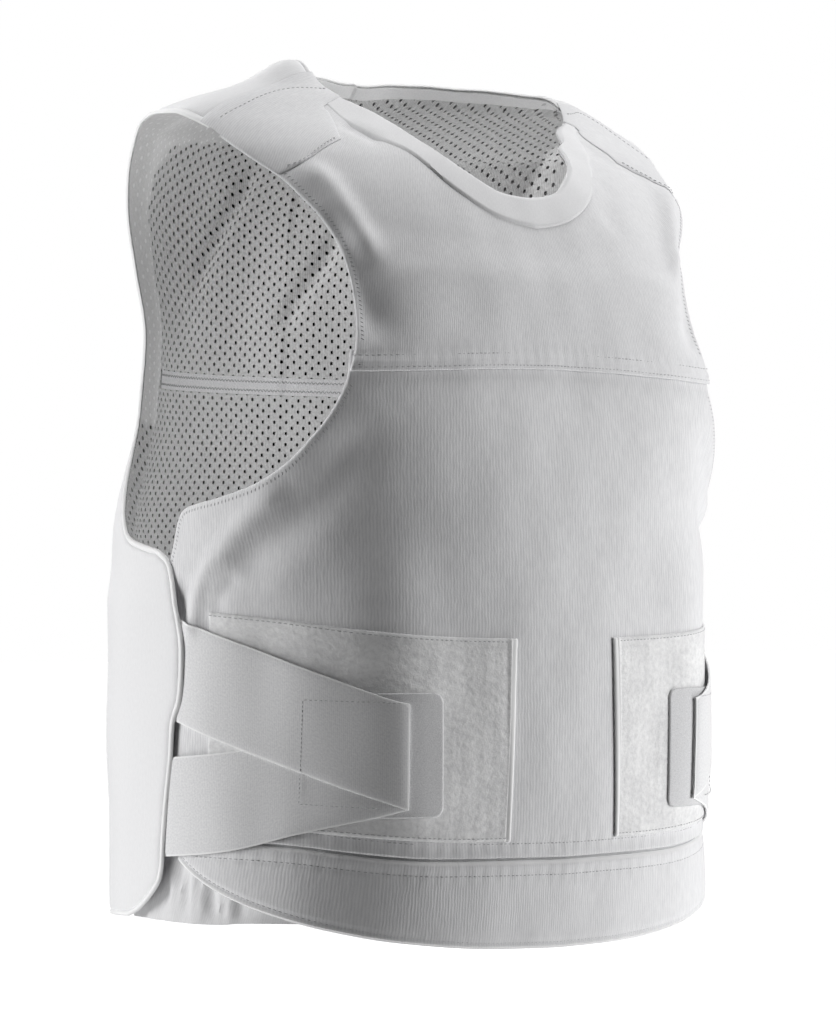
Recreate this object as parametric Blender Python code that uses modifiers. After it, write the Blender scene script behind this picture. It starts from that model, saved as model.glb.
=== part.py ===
"""Concealable armour vest, filled out as it is when worn. Metres, +Z up, front towards -Y.

The origin is where the vest hangs: midway between the two shoulders, at the height of the neck
ends of the shoulder lines. The wearer's right side is at -X.

Every piece of cloth is cut flat in a chart of the body form and then wrapped on it. A place on the
chart is a bearing, in degrees from the centre front towards the wearer's left, and a rise, in
millimetres up the cloth from the lowest hem. Lengths are in millimetres until a mesh is made.
"""

import math
from collections import namedtuple

import bmesh
import bpy
import numpy as np

MM = 0.001
COLLECTION = "concealable_armour_vest"
MIRROR = np.array([-1, 1])

# Where the vest hangs, above the lowest hem.
SHOULDER_HEIGHT = 478.0

# The body form: one row for each level, measured to the outer cloth.
Section = namedtuple(
    "Section", "height front_half back_half front_depth back_depth front_power back_power"
)
SECTIONS = [
    Section(-20, 173, 169, 127, 137, 2.45, 2.3),
    Section(0, 173, 169, 128, 138, 2.45, 2.3),
    Section(60, 173, 170, 132, 139, 2.32, 2.3),
    Section(130, 171, 169, 134, 139, 2.3, 2.4),
    Section(220, 170, 168, 132, 139, 2.4, 2.4),
    Section(289, 178, 157, 127, 137, 2.9, 2.2),
    Section(330, 184, 155, 121, 135, 2.65, 2.2),
    Section(371, 184, 164, 114, 132, 2.35, 2.2),
    Section(404, 182, 173, 101, 128, 2.2, 2.2),
    Section(424, 179, 175, 87, 123, 2.1, 2.2),
    Section(439, 174, 173, 66, 117, 2.1, 2.2),
    Section(450, 166, 167, 47, 110, 2.1, 2.3),
    Section(460, 143, 143, 34, 98, 2.2, 2.6),
    Section(468, 115, 115, 23, 85, 2.2, 3.0),
    Section(476, 84, 84, 13, 68, 2.2, 3.0),
    Section(484, 55, 55, 6, 50, 2.2, 2.6),
    Section(492, 12, 12, 2, 12, 2.2, 2.2),
]
# Up to this level a rise is a height. Above it the rise goes on round an arc of CROWN_RADIUS.
CHEST_LEVEL = 330.0
CROWN_RADIUS = 150.0
# Chart millimetres for each degree of bearing.
DEGREE = math.radians(1) * CROWN_RADIUS
REACH = 400.0
# The front's and the back's half widths run into each other over this depth at the sides.
SIDE_BLEND = 30.0
HALVINGS = 32
# How far to each side, in degrees and in millimetres, the form's slope is measured.
SLOPE_STEP = 0.8

# At the free edges the back lining comes up to the outer cloth across this width.
EDGE_CLOSING = 14.0

# Cloth and padding, from the outside in.
CLOTH = 1.5
LINING = 1.2
ARMOUR = 3.2
FRONT_GAP = 1.8
BACK_GAP = 2.3
INNER_GAP = 1.3
LAP_GAP = 1.0
TRIM_GAP = 1.0
SEAT_GAP = 0.5
PATCH = 1.2
ELASTIC = 1.1
TAB = 1.8
FACING = 1.0
TAPE = 1.0
UNDER_CLOTH = 1.0
# The back lining's outer face lies this far inside the form, and this far at a free edge.
LINING_DEPTH = CLOTH + BACK_GAP + ARMOUR + INNER_GAP
LINING_RIM = CLOTH + TRIM_GAP
# The inner layers end this far short of the outer cloth's edge.
LINING_INSET = 1.5
PADDING_INSET = 2.5
# The front's armour and lining lie against each other, sewn up as one padded layer.
FRONT_PADDING = ARMOUR + LINING

# The mesh: grid lines across the chart, and the spacing of the points along an outline.
COLUMN_SPACING = 24.0
Rows = namedtuple("Rows", "rise spacing")
ROWS = [Rows(0, 60), Rows(240, 30), Rows(390, 16)]
OUTLINE_STEP = 24.0
TAB_STEP = 16.0
STRIP_STEP = 14.0
CURVE_STEPS = 8
# Rows between the two edges of a strip, by how wide and how bent it is.
PATCH_ROWS = 4
GATHERED_ROWS = 3
STRIP_ROWS = 2

# How far the wing of the back panel stands off the form, so that it passes over the front's side.
WING_STAND = 5.9
WING_FULL_BEARING = 115.0
WING_FLUSH_BEARING = 144.0
WING_FULL_RISE = 240.0
WING_FLUSH_RISE = 300.0

# The yoke's lower edge lies over the top of the front panel.
YOKE_LAP = 12.0
YOKE_LAP_FADE = (362.0, 390.0)
# The yoke follows the rows of the armhole that lie more than this above its lower edge.
YOKE_CORNER = 4.0

# Rolls of cloth above zero and hollows below it: at the neck end of the wearer's right shoulder,
# then at the left shoulder's neck end, arm corner and armhole.
Roll = namedtuple("Roll", "bearing rise radius height")
SHOULDER_ROLLS = [
    Roll(-88, 481, 18, 9.0), Roll(84, 470, 24, 4.4), Roll(76, 430, 36, -5.0), Roll(63, 397, 18, 3.0),
]

# Gathers in the cloth under the tail, at the sides.
GATHER_FROM_BEARING = 66.0
GATHER_FULL_BEARING = 74.0
GATHER_FADE = (40.0, 60.0)
GATHER_PITCH = 10.0
GATHER_HEIGHT = 1.0
GATHER_STAND = 1.6

Edge = namedtuple("Edge", "bearing rise")


def edge(*rows):
    """Rows of an edge on the wearer's right, where bearings are below zero."""
    return [Edge(*row) for row in rows]


NECKLINE = edge(
    (0, 426.5), (-12, 430), (-21, 440), (-30, 452.5), (-38, 465.5), (-46, 478),
    (-54, 485.5), (-62, 487.5), (-69, 485), (-78, 486),
)
BACK_NECKLINE = edge(
    (-80.6, 487), (-92, 491), (-101, 495), (-110, 500), (-130, 508), (-155, 513), (-180, 514)
)
BAND_SEAM = edge(
    (0, 403.5), (-14, 409), (-26, 422), (-34, 436), (-42, 447.5), (-51, 453.5), (-60, 461),
    (-67.6, 468.5),
)
# The neck band ends here, beside the shoulder tab.
BAND_END = Edge(-67.8, 485.3)
BAND_NECK = [*(row for row in NECKLINE if row.bearing > BAND_END.bearing), BAND_END]
FRONT_ARMHOLE = edge(
    (-78, 416), (-72.5, 410), (-65.6, 402.6), (-61.3, 395), (-57, 386), (-53.5, 375), (-50.8, 358),
    (-49.4, 340), (-49.1, 322), (-50.4, 301), (-53.3, 283), (-57, 269.5), (-61.5, 257), (-67.5, 247),
    (-75, 240.5), (-81.5, 237), (-85.5, 234), (-87.4, 227), (-88.6, 215), (-90.5, 200),
)
FRONT_SIDE = edge((-90.5, 200), (-94, 165), (-96, 120), (-96, 57))
YOKE_EDGE = edge((0, 310), (-17, 309.3), (-32, 307.7), (-45.3, 306.3), (-49.9, 306.2))
SLIT = edge(
    (0, 45.8), (-13, 46.3), (-32, 47.1), (-42, 48.8), (-52, 52), (-60, 54.8), (-69, 56.3), (-81, 57)
)
TAIL_HEM = edge(
    (0, -3), (-23, -1.3), (-41, 3.5), (-54, 10.3), (-63, 17), (-71, 24.4), (-79, 34), (-86, 46)
)
BACK_ARMHOLE = edge(
    (-80.6, 419), (-88, 423), (-97, 427), (-105, 429.5), (-111, 427), (-115, 418), (-118, 404),
    (-120, 380), (-120.5, 350), (-120.5, 320), (-119.5, 295), (-117.5, 275), (-114, 258),
    (-110.5, 243), (-108, 230), (-105, 220.5), (-100, 216.5), (-93, 213),
)
WING_EDGE = edge(
    (-93, 213), (-89.3, 207.5), (-87, 196), (-85, 181), (-83.4, 165), (-83.2, 150), (-83.9, 132),
    (-85.8, 119), (-86.1, 100), (-87, 78), (-88, 56), (-89, 37), (-92, 27), (-97, 17.5), (-102, 12.5),
)
BACK_HEM = edge((-102, 12.5), (-120, 10), (-150, 8), (-180, 8))
# The left shoulder lies further forward, and draws the back armhole's upper corner with it.
Draw = namedtuple("Draw", "bearing rise width height forward")
LEFT_DRAW = Draw(113, 416, 42, 32, 18.0)
# There the neck's edge lies lower too, between the first two bearings and the last two.
NECK_DROP = 11.0
NECK_DROP_BEARINGS = (40.0, 56.0, 82.0, 100.0)
NECK_DROP_RISES = (462.0, 484.0)
TAB_REAR = edge((-68.8, 485), (-75.5, 486.3), (-80.3, 487))
TAB_FRONT = edge((-65.8, 402.8), (-62, 413.7), (-57.8, 439.5))
TAB_INNER = edge((-57.8, 439.5), (-62.5, 455), (-66.5, 464), (-68.8, 467), (-68.8, 485))
TAB_ARM = edge((-80.3, 418.6), (-72.5, 410.2), (-65.8, 402.8))
BACK_ARMOUR_EDGE = edge(
    (-180, 497), (-166, 494), (-158, 483), (-154, 466), (-150, 449), (-138, 436.5), (-131, 428),
    (-128, 414), (-127, 398), (-127.5, 375), (-129, 345), (-128.5, 300), (-127, 276), (-125, 255),
    (-122, 235), (-121, 84), (-126, 74), (-150, 70), (-180, 70),
)
PATCH_TOP = edge((-14.2, 165), (-33, 166.5), (-48, 170), (-63, 175.5), (-78, 179.5))
PATCH_BOTTOM = edge((-15.6, 56), (-33, 57), (-60, 63), (-78, 66))
UPPER_STRAP_TOP = edge((-39.6, 131), (-44.5, 134.7), (-58.5, 150), (-70, 162), (-83.5, 174), (-92, 178))
UPPER_STRAP_BOTTOM = edge((-39.9, 74.6), (-51.5, 86.3), (-66, 101.5), (-84.5, 119), (-92, 122))
LOWER_STRAP_TOP = edge((-39.6, 130.4), (-55, 119), (-70.7, 106.2), (-85.6, 101.3), (-92, 100.5))
LOWER_STRAP_BOTTOM = edge(
    (-39.9, 75), (-44.5, 71.6), (-58.8, 62.3), (-72.7, 51.9), (-87.7, 47.3), (-92, 47)
)
PAD_BEARINGS = (-58.0, -32.4)
PAD_RISES = (70.5, 136.5)
PAD_CORNER = 5.0
TAPE_RISES = (305.0, 315.5)
TAPE_BEARING = 127.0
UNDER_CLOTH_TOP = edge((0, 55), (-60, 58), (-76, 55.5), (-100, 55))
UNDER_CLOTH_HEM = edge((0, 14), (-63, 14), (-78, 12), (-106, 11.5))
BACK_LINING_SIDE = edge((-109, 200), (-108, 120))
LINING_HEM = 20.0
PADDING_SIDE = edge((-90.5, 200), (-93, 165), (-91, 120), (-87, 66))
# The rows of the back armhole that the lining follows, down to the wing.
LINED_ROWS = 15
FACING_DEPTH = 7.0
FACING_FROM_BEARING = -95.0
SLIT_HALF = 0.5

# How far each strap's inner face stands off the form, by bearing.
Stand = namedtuple("Stand", "bearing off")
LOWER_STRAP_STAND = [Stand(-95, 1.6), Stand(-86, 1.7), Stand(-77, 2.4), Stand(-68, 2.4),
                     Stand(-60, 3.9), Stand(-39, 3.9)]
UPPER_STRAP_STAND = [Stand(-95, 1.6), Stand(-87, 1.7), Stand(-77, 4.1), Stand(-68, 4.1),
                     Stand(-60, 5.6), Stand(-39, 5.6)]
PAD_STAND = 2.2

# Folds, mirrored to the other side: a ridge or a hollow along a straight line. Each one rises and
# falls again near its ends, over these shares of its length.
FOLD_RISES = (-0.15, 0.25)
FOLD_FALLS = (0.75, 1.15)
Fold = namedtuple("Fold", "bearing_a rise_a bearing_b rise_b width height")
FRONT_FOLDS = [
    Fold(-63, 404, -47, 364, 15, 3.5),
    Fold(-53, 376, -46, 338, 15, -4.0),
    Fold(-63, 240, -80, 196, 14, 2.5),
    Fold(-47, 272, -74, 205, 18, -3.0),
]
BACK_FOLDS = [
    Fold(-138, 320, -152, 430, 22, -2.5),
    Fold(-160, 300, -170, 420, 22, -2.0),
]

Finish = namedtuple("Finish", "colour roughness")
COVER_WHITE = Finish((0.78, 0.78, 0.79), 0.9)
LINING_WHITE = Finish((0.62, 0.62, 0.63), 0.9)
COVER_DARK = Finish((0.05, 0.05, 0.05), 0.7)
LOOP_WHITE = Finish((0.72, 0.72, 0.73), 1.0)
ELASTIC_WHITE = Finish((0.7, 0.7, 0.71), 0.8)


def smooth_rows(rows, at):
    """Values of a table at given places of its first column, on a curve with no overshoot."""
    table = np.asarray(rows, float)
    place, value = table[:, 0], table[:, 1:]
    step = np.diff(place)
    slope = np.diff(value, axis=0) / step[:, None]
    tangent = np.zeros_like(value)
    tangent[0], tangent[-1] = slope[0], slope[-1]
    for i in range(1, len(place) - 1):
        before, after = slope[i - 1], slope[i]
        rising = before * after > 0
        near, far = 2 * step[i] + step[i - 1], step[i] + 2 * step[i - 1]
        safe_before, safe_after = np.where(rising, before, 1), np.where(rising, after, 1)
        mean = (near + far) / (near / safe_before + far / safe_after)
        tangent[i] = np.where(rising, mean, 0)
    at = np.clip(np.asarray(at, float), place[0], place[-1])
    k = np.clip(np.searchsorted(place, at, side="right") - 1, 0, len(step) - 1)
    s = ((at - place[k]) / step[k])[..., None]
    width = step[k][..., None]
    return (
        (2 * s**3 - 3 * s**2 + 1) * value[k]
        + (s**3 - 2 * s**2 + s) * width * tangent[k]
        + (3 * s**2 - 2 * s**3) * value[k + 1]
        + (s**3 - s**2) * width * tangent[k + 1]
    )


def step_between(value, low, high):
    """0 below low, 1 above high, and a smooth rise between."""
    s = np.clip((value - low) / (high - low), 0, 1)
    return s * s * (3 - 2 * s)


def inside_form(points):
    """Whether each point lies inside the body form."""
    columns = np.moveaxis(smooth_rows(SECTIONS, points[..., 2]), -1, 0)
    front_half, back_half, front_depth, back_depth, front_power, back_power = columns
    in_front = points[..., 1] < 0
    behind = step_between(points[..., 1], -SIDE_BLEND, SIDE_BLEND)
    half = front_half * (1 - behind) + back_half * behind
    depth = np.where(in_front, front_depth, back_depth)
    power = np.where(in_front, front_power, back_power)
    reach = (np.abs(points[..., 0]) / half) ** power + (np.abs(points[..., 1]) / depth) ** power
    return (reach < 1) & (points[..., 2] < SECTIONS[-1].height)


def on_form(bearing, rise):
    """The point of the form at each bearing and rise, found by halving along a ray."""
    angle = np.radians(bearing)
    lift = np.maximum(rise - CHEST_LEVEL, 0) / CROWN_RADIUS
    start = np.stack([0 * angle, 0 * angle, np.minimum(rise, CHEST_LEVEL)], -1)
    way = np.stack(
        [np.sin(angle) * np.cos(lift), -np.cos(angle) * np.cos(lift), np.sin(lift)], -1
    )
    low, high = np.zeros(angle.shape), np.full(angle.shape, REACH)
    for _ in range(HALVINGS):
        middle = (low + high) / 2
        within = inside_form(start + way * middle[..., None])
        low, high = np.where(within, middle, low), np.where(within, high, middle)
    return start + way * low[..., None]


def drawn_down(bearing, rise):
    """Rises, with those of the neck's edge at the left shoulder drawn down."""
    start, full, fading, end = NECK_DROP_BEARINGS
    at = turn(bearing)
    share = step_between(at, start, full) * (1 - step_between(at, fading, end))
    return rise - NECK_DROP * share * step_between(rise, *NECK_DROP_RISES)


def wrap(bearing, rise, off):
    """Points at a distance off the form, along its normals, in metres from the origin."""
    rise = drawn_down(bearing, rise)
    along = on_form(bearing + SLOPE_STEP, rise) - on_form(bearing - SLOPE_STEP, rise)
    up = on_form(bearing, rise + SLOPE_STEP) - on_form(bearing, rise - SLOPE_STEP)
    normal = np.cross(along, up)
    normal /= np.linalg.norm(normal, axis=-1)[..., None]
    points = on_form(bearing, rise) + normal * off[..., None]
    return (points - np.array([0, 0, SHOULDER_HEIGHT])) * MM


def turn(bearing):
    """A bearing brought between -180 and 180."""
    return (bearing + 180.0) % 360.0 - 180.0


def flat(rows, centre):
    """Chart millimetres of an edge's rows, measured from the centre bearing."""
    return [(turn(row.bearing - centre) * DEGREE, row.rise) for row in rows]


def curve_through(points, step):
    """Points along a smooth curve through the given ones, about a step apart, ends kept."""
    p = np.array([points[0], *points, points[-1]], float)
    fine = []
    for i in range(1, len(p) - 2):
        for k in range(CURVE_STEPS):
            s = k / CURVE_STEPS
            fine.append(
                0.5 * (
                    2 * p[i] + (p[i + 1] - p[i - 1]) * s
                    + (2 * p[i - 1] - 5 * p[i] + 4 * p[i + 1] - p[i + 2]) * s**2
                    + (3 * p[i] - p[i - 1] - 3 * p[i + 1] + p[i + 2]) * s**3
                )
            )
    fine = np.array([*fine, p[-1]])
    run = np.concatenate([[0], np.cumsum(np.linalg.norm(np.diff(fine, axis=0), axis=1))])
    count = max(1, round(run[-1] / step))
    at = np.linspace(0, run[-1], count + 1)
    return np.stack([np.interp(at, run, fine[:, k]) for k in range(2)], 1)


def resampled(points, count):
    """The same curve with a given number of equal steps."""
    run = np.concatenate([[0], np.cumsum(np.linalg.norm(np.diff(points, axis=0), axis=1))])
    at = np.linspace(0, run[-1], count + 1)
    return np.stack([np.interp(at, run, points[:, k]) for k in range(2)], 1)


def outline(runs, step, centre=0.0):
    """A closed outline through runs of rows: each run is a smooth curve, with corners between."""
    points = []
    for run in runs:
        points.extend(curve_through(flat(run, centre), step)[:-1])
    return np.array(points)


def both_sides(runs, step, centre=0.0):
    """A closed outline whose right half is given, from the top of the centre line to its foot."""
    half = []
    for run in runs:
        half.extend(curve_through(flat(run, centre), step)[:-1])
    last = flat(runs[-1], centre)[-1]
    half = np.array([*half, last])
    other = half[-2:0:-1] * MIRROR
    return np.concatenate([half, other])


def across(rows, step=STRIP_STEP, centre=0.0):
    """An open edge from its end on the wearer's right, over the centre line, to its mirror image."""
    right = curve_through(flat(rows, centre), step)
    return np.concatenate([right, right[-2::-1] * MIRROR])


def area_of(points):
    """The area inside a closed outline, below zero where it runs clockwise."""
    x, y = points[:, 0], points[:, 1]
    return 0.5 * float(np.sum(x * np.roll(y, -1) - np.roll(x, -1) * y))


def distance_to(places, line):
    """How far each place is from an open line of points."""
    best = np.full(len(places), np.inf)
    for a, b in zip(line[:-1], line[1:]):
        way = b - a
        s = np.clip(((places - a) @ way) / (way @ way), 0, 1)
        best = np.minimum(best, np.linalg.norm(places - a - s[:, None] * way, axis=1))
    return best


def grid_rows(low, high):
    """The rises of the grid lines between two rises: wide apart low down, and close on the crown."""
    lines = []
    tops = [zone.rise for zone in ROWS[1:]] + [high]
    for zone, top in zip(ROWS, tops):
        lines += list(np.arange(zone.rise, top, zone.spacing))
    return [line for line in lines if low < line < high]


def cut_panel(border, ring=0.0):
    """A flat panel cut to the border, with grid lines across it.

    Where ring is given, a row of faces of that width follows the panel's edge.
    """
    if area_of(border) < 0:
        border = border[::-1]
    bm = bmesh.new()
    corners = [bm.verts.new((x, y, 0)) for x, y in border]
    face = bm.faces.new(corners)
    bm.normal_update()
    if ring:
        bmesh.ops.inset_region(bm, faces=[face], thickness=ring, use_even_offset=True,
                               use_boundary=True)
    low, high = border.min(axis=0), border.max(axis=0)
    first, last = math.ceil(low[0] / COLUMN_SPACING), math.floor(high[0] / COLUMN_SPACING)
    lines = [((k * COLUMN_SPACING, 0, 0), (1, 0, 0)) for k in range(first, last + 1)]
    lines += [((0, rise, 0), (0, 1, 0)) for rise in grid_rows(low[1], high[1])]
    for at, normal in lines:
        whole = bm.verts[:] + bm.edges[:] + bm.faces[:]
        bmesh.ops.bisect_plane(bm, geom=whole, plane_co=at, plane_no=normal, dist=0.01)
    return bm


def cut_strip(top, foot, rows=1):
    """A flat strip between two open edges that run the same way."""
    run = np.linalg.norm(np.diff(top, axis=0), axis=1).sum()
    columns = max(2, round(run / STRIP_STEP))
    top, foot = resampled(top, columns), resampled(foot, columns)
    bm = bmesh.new()
    bmesh.ops.create_grid(bm, x_segments=columns, y_segments=rows, size=1)
    for vert in bm.verts:
        column, up = round((vert.co.x + 1) / 2 * columns), (vert.co.y + 1) / 2
        place = foot[column] * (1 - up) + top[column] * up
        vert.co = (*place, 0)
    if top[-1][0] < top[0][0]:
        bmesh.ops.reverse_faces(bm, faces=bm.faces[:])
    return bm


def folds(table, bearing, rise):
    """The height of a table's folds at each place, the same on both sides."""
    side = -np.abs(turn(bearing))
    total = np.zeros(np.shape(bearing))
    for fold in table:
        a = np.array([fold.bearing_a * DEGREE, fold.rise_a])
        d = np.array([fold.bearing_b * DEGREE, fold.rise_b]) - a
        place = np.stack([side * DEGREE, rise], -1) - a
        s = (place @ d) / (d @ d)
        off_line = np.linalg.norm(place - np.clip(s, 0, 1)[..., None] * d, axis=-1)
        fade = step_between(s, *FOLD_RISES) * (1 - step_between(s, *FOLD_FALLS))
        total += fold.height * fade * np.exp(-((off_line / fold.width) ** 2))
    return total


def shoulder_roll(bearing, rise):
    """The height of the rolls and hollows of cloth at the shoulders."""
    total = np.zeros(np.shape(bearing))
    for roll in SHOULDER_ROLLS:
        away = np.hypot(turn(bearing - roll.bearing) * DEGREE, rise - roll.rise) / roll.radius
        total += roll.height * np.exp(-(away**2))
    return total


def front_rest(bearing, rise):
    """The front's folds and shoulder rolls, shared by all its layers."""
    return folds(FRONT_FOLDS, bearing, rise) + shoulder_roll(bearing, rise)


def back_rest(bearing, rise):
    """The back's folds and shoulder rolls, shared by all its layers."""
    return folds(BACK_FOLDS, bearing, rise) + shoulder_roll(bearing, rise)


def wing_stand(bearing, rise):
    """How much further off the form the outer cloth is at the wings."""
    away = 1 - step_between(np.abs(turn(bearing)), WING_FULL_BEARING, WING_FLUSH_BEARING)
    return WING_STAND * away * (1 - step_between(rise, WING_FULL_RISE, WING_FLUSH_RISE))


def places_of(bearing, rise, centre=0.0):
    """Chart places, in millimetres from the centre bearing."""
    return np.stack([turn(bearing - centre) * DEGREE, rise], -1)


def edge_closing(places, lines):
    """1 at the vest's free edges, falling to 0 across the strip where the layers close up."""
    near = np.min([distance_to(places, line) for line in lines], axis=0)
    return np.clip(1 - near / EDGE_CLOSING, 0, 1)


def inset_border(border, amount):
    """A closed outline drawn in by an amount."""
    if area_of(border) < 0:
        border = border[::-1]
    bm = bmesh.new()
    face = bm.faces.new([bm.verts.new((x, y, 0)) for x, y in border])
    bm.normal_update()
    bmesh.ops.inset_region(bm, faces=[face], thickness=amount, use_even_offset=True,
                           use_boundary=True)
    inner = np.array([corner.co[:2] for corner in face.verts])
    bm.free()
    return inner


def drawn_forward(points):
    """Places on the back's chart, with those near the left armhole's corner drawn forward."""
    x, y = points[:, 0], points[:, 1]
    beside = (x - (LEFT_DRAW.bearing - 180) * DEGREE) / LEFT_DRAW.width
    above = (y - LEFT_DRAW.rise) / LEFT_DRAW.height
    return np.stack([x - LEFT_DRAW.forward * np.exp(-(beside**2) - above**2), y], 1)


def material(name, finish):
    """A material, made once and then shared by name."""
    made = bpy.data.materials.get(name)
    if made is None:
        made = bpy.data.materials.new(name)
        made.use_nodes = True
        shader = made.node_tree.nodes["Principled BSDF"]
        shader.inputs["Base Color"].default_value = (*finish.colour, 1)
        shader.inputs["Roughness"].default_value = finish.roughness
        shader.inputs["Metallic"].default_value = 0.0
    return made


def sew(name, bm, outer_face, thickness, cloth, centre=0.0):
    """Wraps a flat piece on the form and gives it its thickness, inwards from its outer face.

    outer_face is a function of bearing and rise that gives how far the outer face stands off the
    form.
    """
    places = np.array([v.co[:2] for v in bm.verts])
    bearing = places[:, 0] / DEGREE + centre
    points = wrap(bearing, places[:, 1], outer_face(bearing, places[:, 1]))
    for vert, point in zip(bm.verts, points):
        vert.co = point
    mesh = bpy.data.meshes.new(name)
    bm.to_mesh(mesh)
    bm.free()
    mesh.materials.append(material(*cloth))
    mesh.shade_smooth()
    piece = bpy.data.objects.new(name, mesh)
    bpy.data.collections[COLLECTION].objects.link(piece)
    wall = piece.modifiers.new("wall", "SOLIDIFY")
    wall.thickness = thickness * MM
    wall.offset = -1.0
    wall.use_even_offset = False


def rounded_ends(bearings, rises, corner):
    """The upper and lower edges of a pad whose corners are cut across."""
    turn_in = math.degrees(corner / CROWN_RADIUS)
    left, right = bearings
    upper = edge((left, rises[1] - corner), (left + turn_in, rises[1]), (right - turn_in, rises[1]),
                 (right, rises[1] - corner))
    lower = edge((left, rises[0] + corner), (left + turn_in, rises[0]), (right - turn_in, rises[0]),
                 (right, rises[0] + corner))
    return [np.array(flat(rows, 0.0)) for rows in (upper, lower)]


def lowered(rows, drop):
    """An edge moved down the cloth."""
    return [Edge(row.bearing, row.rise - drop) for row in rows]


def build_front():
    """The front: lower panel, yoke, neck band, tail, cloth under the tail and padded inner panel."""
    cover = ("front_cover_cloth", COVER_WHITE)
    slit_lip = lowered(SLIT, -SLIT_HALF)
    side_foot = Edge(FRONT_SIDE[-1].bearing, slit_lip[-1].rise)
    side = [*FRONT_SIDE[:-1], side_foot]
    foot = [side_foot, *reversed(slit_lip)]
    shoulder_end = [NECKLINE[-1], FRONT_ARMHOLE[0]]

    lap = lowered(YOKE_EDGE, -YOKE_LAP)
    armhole_low = [row for row in FRONT_ARMHOLE if row.rise < lap[-1].rise]
    panel = both_sides([lap, [lap[-1], *armhole_low], side, foot], OUTLINE_STEP)
    sew("front_panel", cut_panel(panel), front_rest, CLOTH, cover)

    def lapped(bearing, rise):
        return front_rest(bearing, rise) + (CLOTH + LAP_GAP) * (1 - step_between(rise, *YOKE_LAP_FADE))

    armhole_high = [row for row in FRONT_ARMHOLE if row.rise > YOKE_EDGE[-1].rise + YOKE_CORNER]
    yoke = both_sides(
        [NECKLINE, shoulder_end, [*armhole_high, YOKE_EDGE[-1]], YOKE_EDGE[::-1]], OUTLINE_STEP
    )
    sew("front_yoke", cut_panel(yoke), lapped, CLOTH, cover)

    band = cut_strip(across(BAND_NECK[::-1]), across(BAND_SEAM[::-1]), STRIP_ROWS)
    sew("neck_band", band, lambda b, r: front_rest(b, r) + CLOTH + LAP_GAP, CLOTH, cover)

    tail_end = Edge(TAIL_HEM[-1].bearing, SLIT[-1].rise - SLIT_HALF)
    tail_top = [*lowered([row for row in SLIT if row.bearing > tail_end.bearing], SLIT_HALF), tail_end]
    tail = cut_strip(across(tail_top[::-1]), across(TAIL_HEM[::-1]), STRIP_ROWS)
    sew("front_tail", tail, front_rest, CLOTH, cover)

    def gathered(bearing, rise):
        side_on = np.abs(bearing)
        wave = np.sin((side_on - GATHER_FROM_BEARING) * 2 * np.pi / GATHER_PITCH)
        where = step_between(side_on, GATHER_FROM_BEARING, GATHER_FULL_BEARING)
        where *= 1 - step_between(rise, *GATHER_FADE)
        return front_rest(bearing, rise) - CLOTH - GATHER_STAND + GATHER_HEIGHT * wave * where

    under = cut_strip(across(UNDER_CLOTH_TOP[::-1]), across(UNDER_CLOTH_HEM[::-1]), GATHERED_ROWS)
    sew("under_tail_cloth", under, gathered, UNDER_CLOTH, ("under_cloth", COVER_WHITE))

    padding_foot = [PADDING_SIDE[-1], Edge(0, PADDING_SIDE[-1].rise)]
    padding = both_sides(
        [NECKLINE, shoulder_end, FRONT_ARMHOLE, PADDING_SIDE, padding_foot], OUTLINE_STEP
    )
    sew("front_inner_panel", cut_panel(inset_border(padding, PADDING_INSET)),
        lambda b, r: front_rest(b, r) - CLOTH - FRONT_GAP, FRONT_PADDING,
        ("mesh_lining", LINING_WHITE))


def build_back():
    """The back: one panel with a wing at each side, armour, lining, seam tape and neck facing."""
    back = 180.0
    shoulder_end = [BACK_NECKLINE[0], BACK_ARMHOLE[0]]

    panel = drawn_forward(both_sides(
        [BACK_NECKLINE[::-1], shoulder_end, BACK_ARMHOLE, WING_EDGE, BACK_HEM], OUTLINE_STEP, back
    ))
    sew("back_panel", cut_panel(panel), lambda b, r: back_rest(b, r) + wing_stand(b, r),
        CLOTH, ("back_cover_cloth", COVER_WHITE), back)

    armour = both_sides([BACK_ARMOUR_EDGE], OUTLINE_STEP, back)
    sew("back_armour", cut_panel(armour), lambda b, r: back_rest(b, r) - CLOTH - BACK_GAP,
        ARMOUR, ("armour_cover", COVER_DARK), back)

    armhole = curve_through(flat(BACK_ARMHOLE[:LINED_ROWS], back), OUTLINE_STEP)
    free = [across(BACK_NECKLINE, centre=back), armhole, drawn_forward(armhole * MIRROR)]

    def lining_face(bearing, rise):
        closing = edge_closing(places_of(bearing, rise, back), free)
        lift = LINING_DEPTH - LINING_RIM + wing_stand(bearing, rise)
        return back_rest(bearing, rise) - LINING_DEPTH + lift * closing

    lining_foot = Edge(BACK_LINING_SIDE[-1].bearing, LINING_HEM)
    lining = drawn_forward(both_sides(
        [BACK_NECKLINE[::-1], shoulder_end, BACK_ARMHOLE[:LINED_ROWS],
         [BACK_ARMHOLE[LINED_ROWS - 1], *BACK_LINING_SIDE, lining_foot],
         [lining_foot, Edge(-180, LINING_HEM)]],
        OUTLINE_STEP, back,
    ))
    sew("back_lining", cut_panel(inset_border(lining, LINING_INSET), EDGE_CLOSING), lining_face, LINING,
        ("mesh_lining", LINING_WHITE), back)

    def inside_lining(bearing, rise):
        return lining_face(bearing, rise) - LINING - TRIM_GAP

    tape = [across(edge((-TAPE_BEARING, rise), (-180, rise)), centre=back) for rise in TAPE_RISES]
    sew("lining_tape", cut_strip(tape[1], tape[0]), inside_lining, TAPE,
        ("seam_tape", COVER_WHITE), back)

    faced = [row for row in BACK_NECKLINE if row.bearing < FACING_FROM_BEARING]
    top = across(lowered(faced, LINING_INSET), centre=back)
    foot = across(lowered(faced, LINING_INSET + FACING_DEPTH), centre=back)
    sew("back_neck_facing", cut_strip(top, foot), inside_lining, FACING,
        ("facing_cloth", COVER_WHITE), back)


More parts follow.
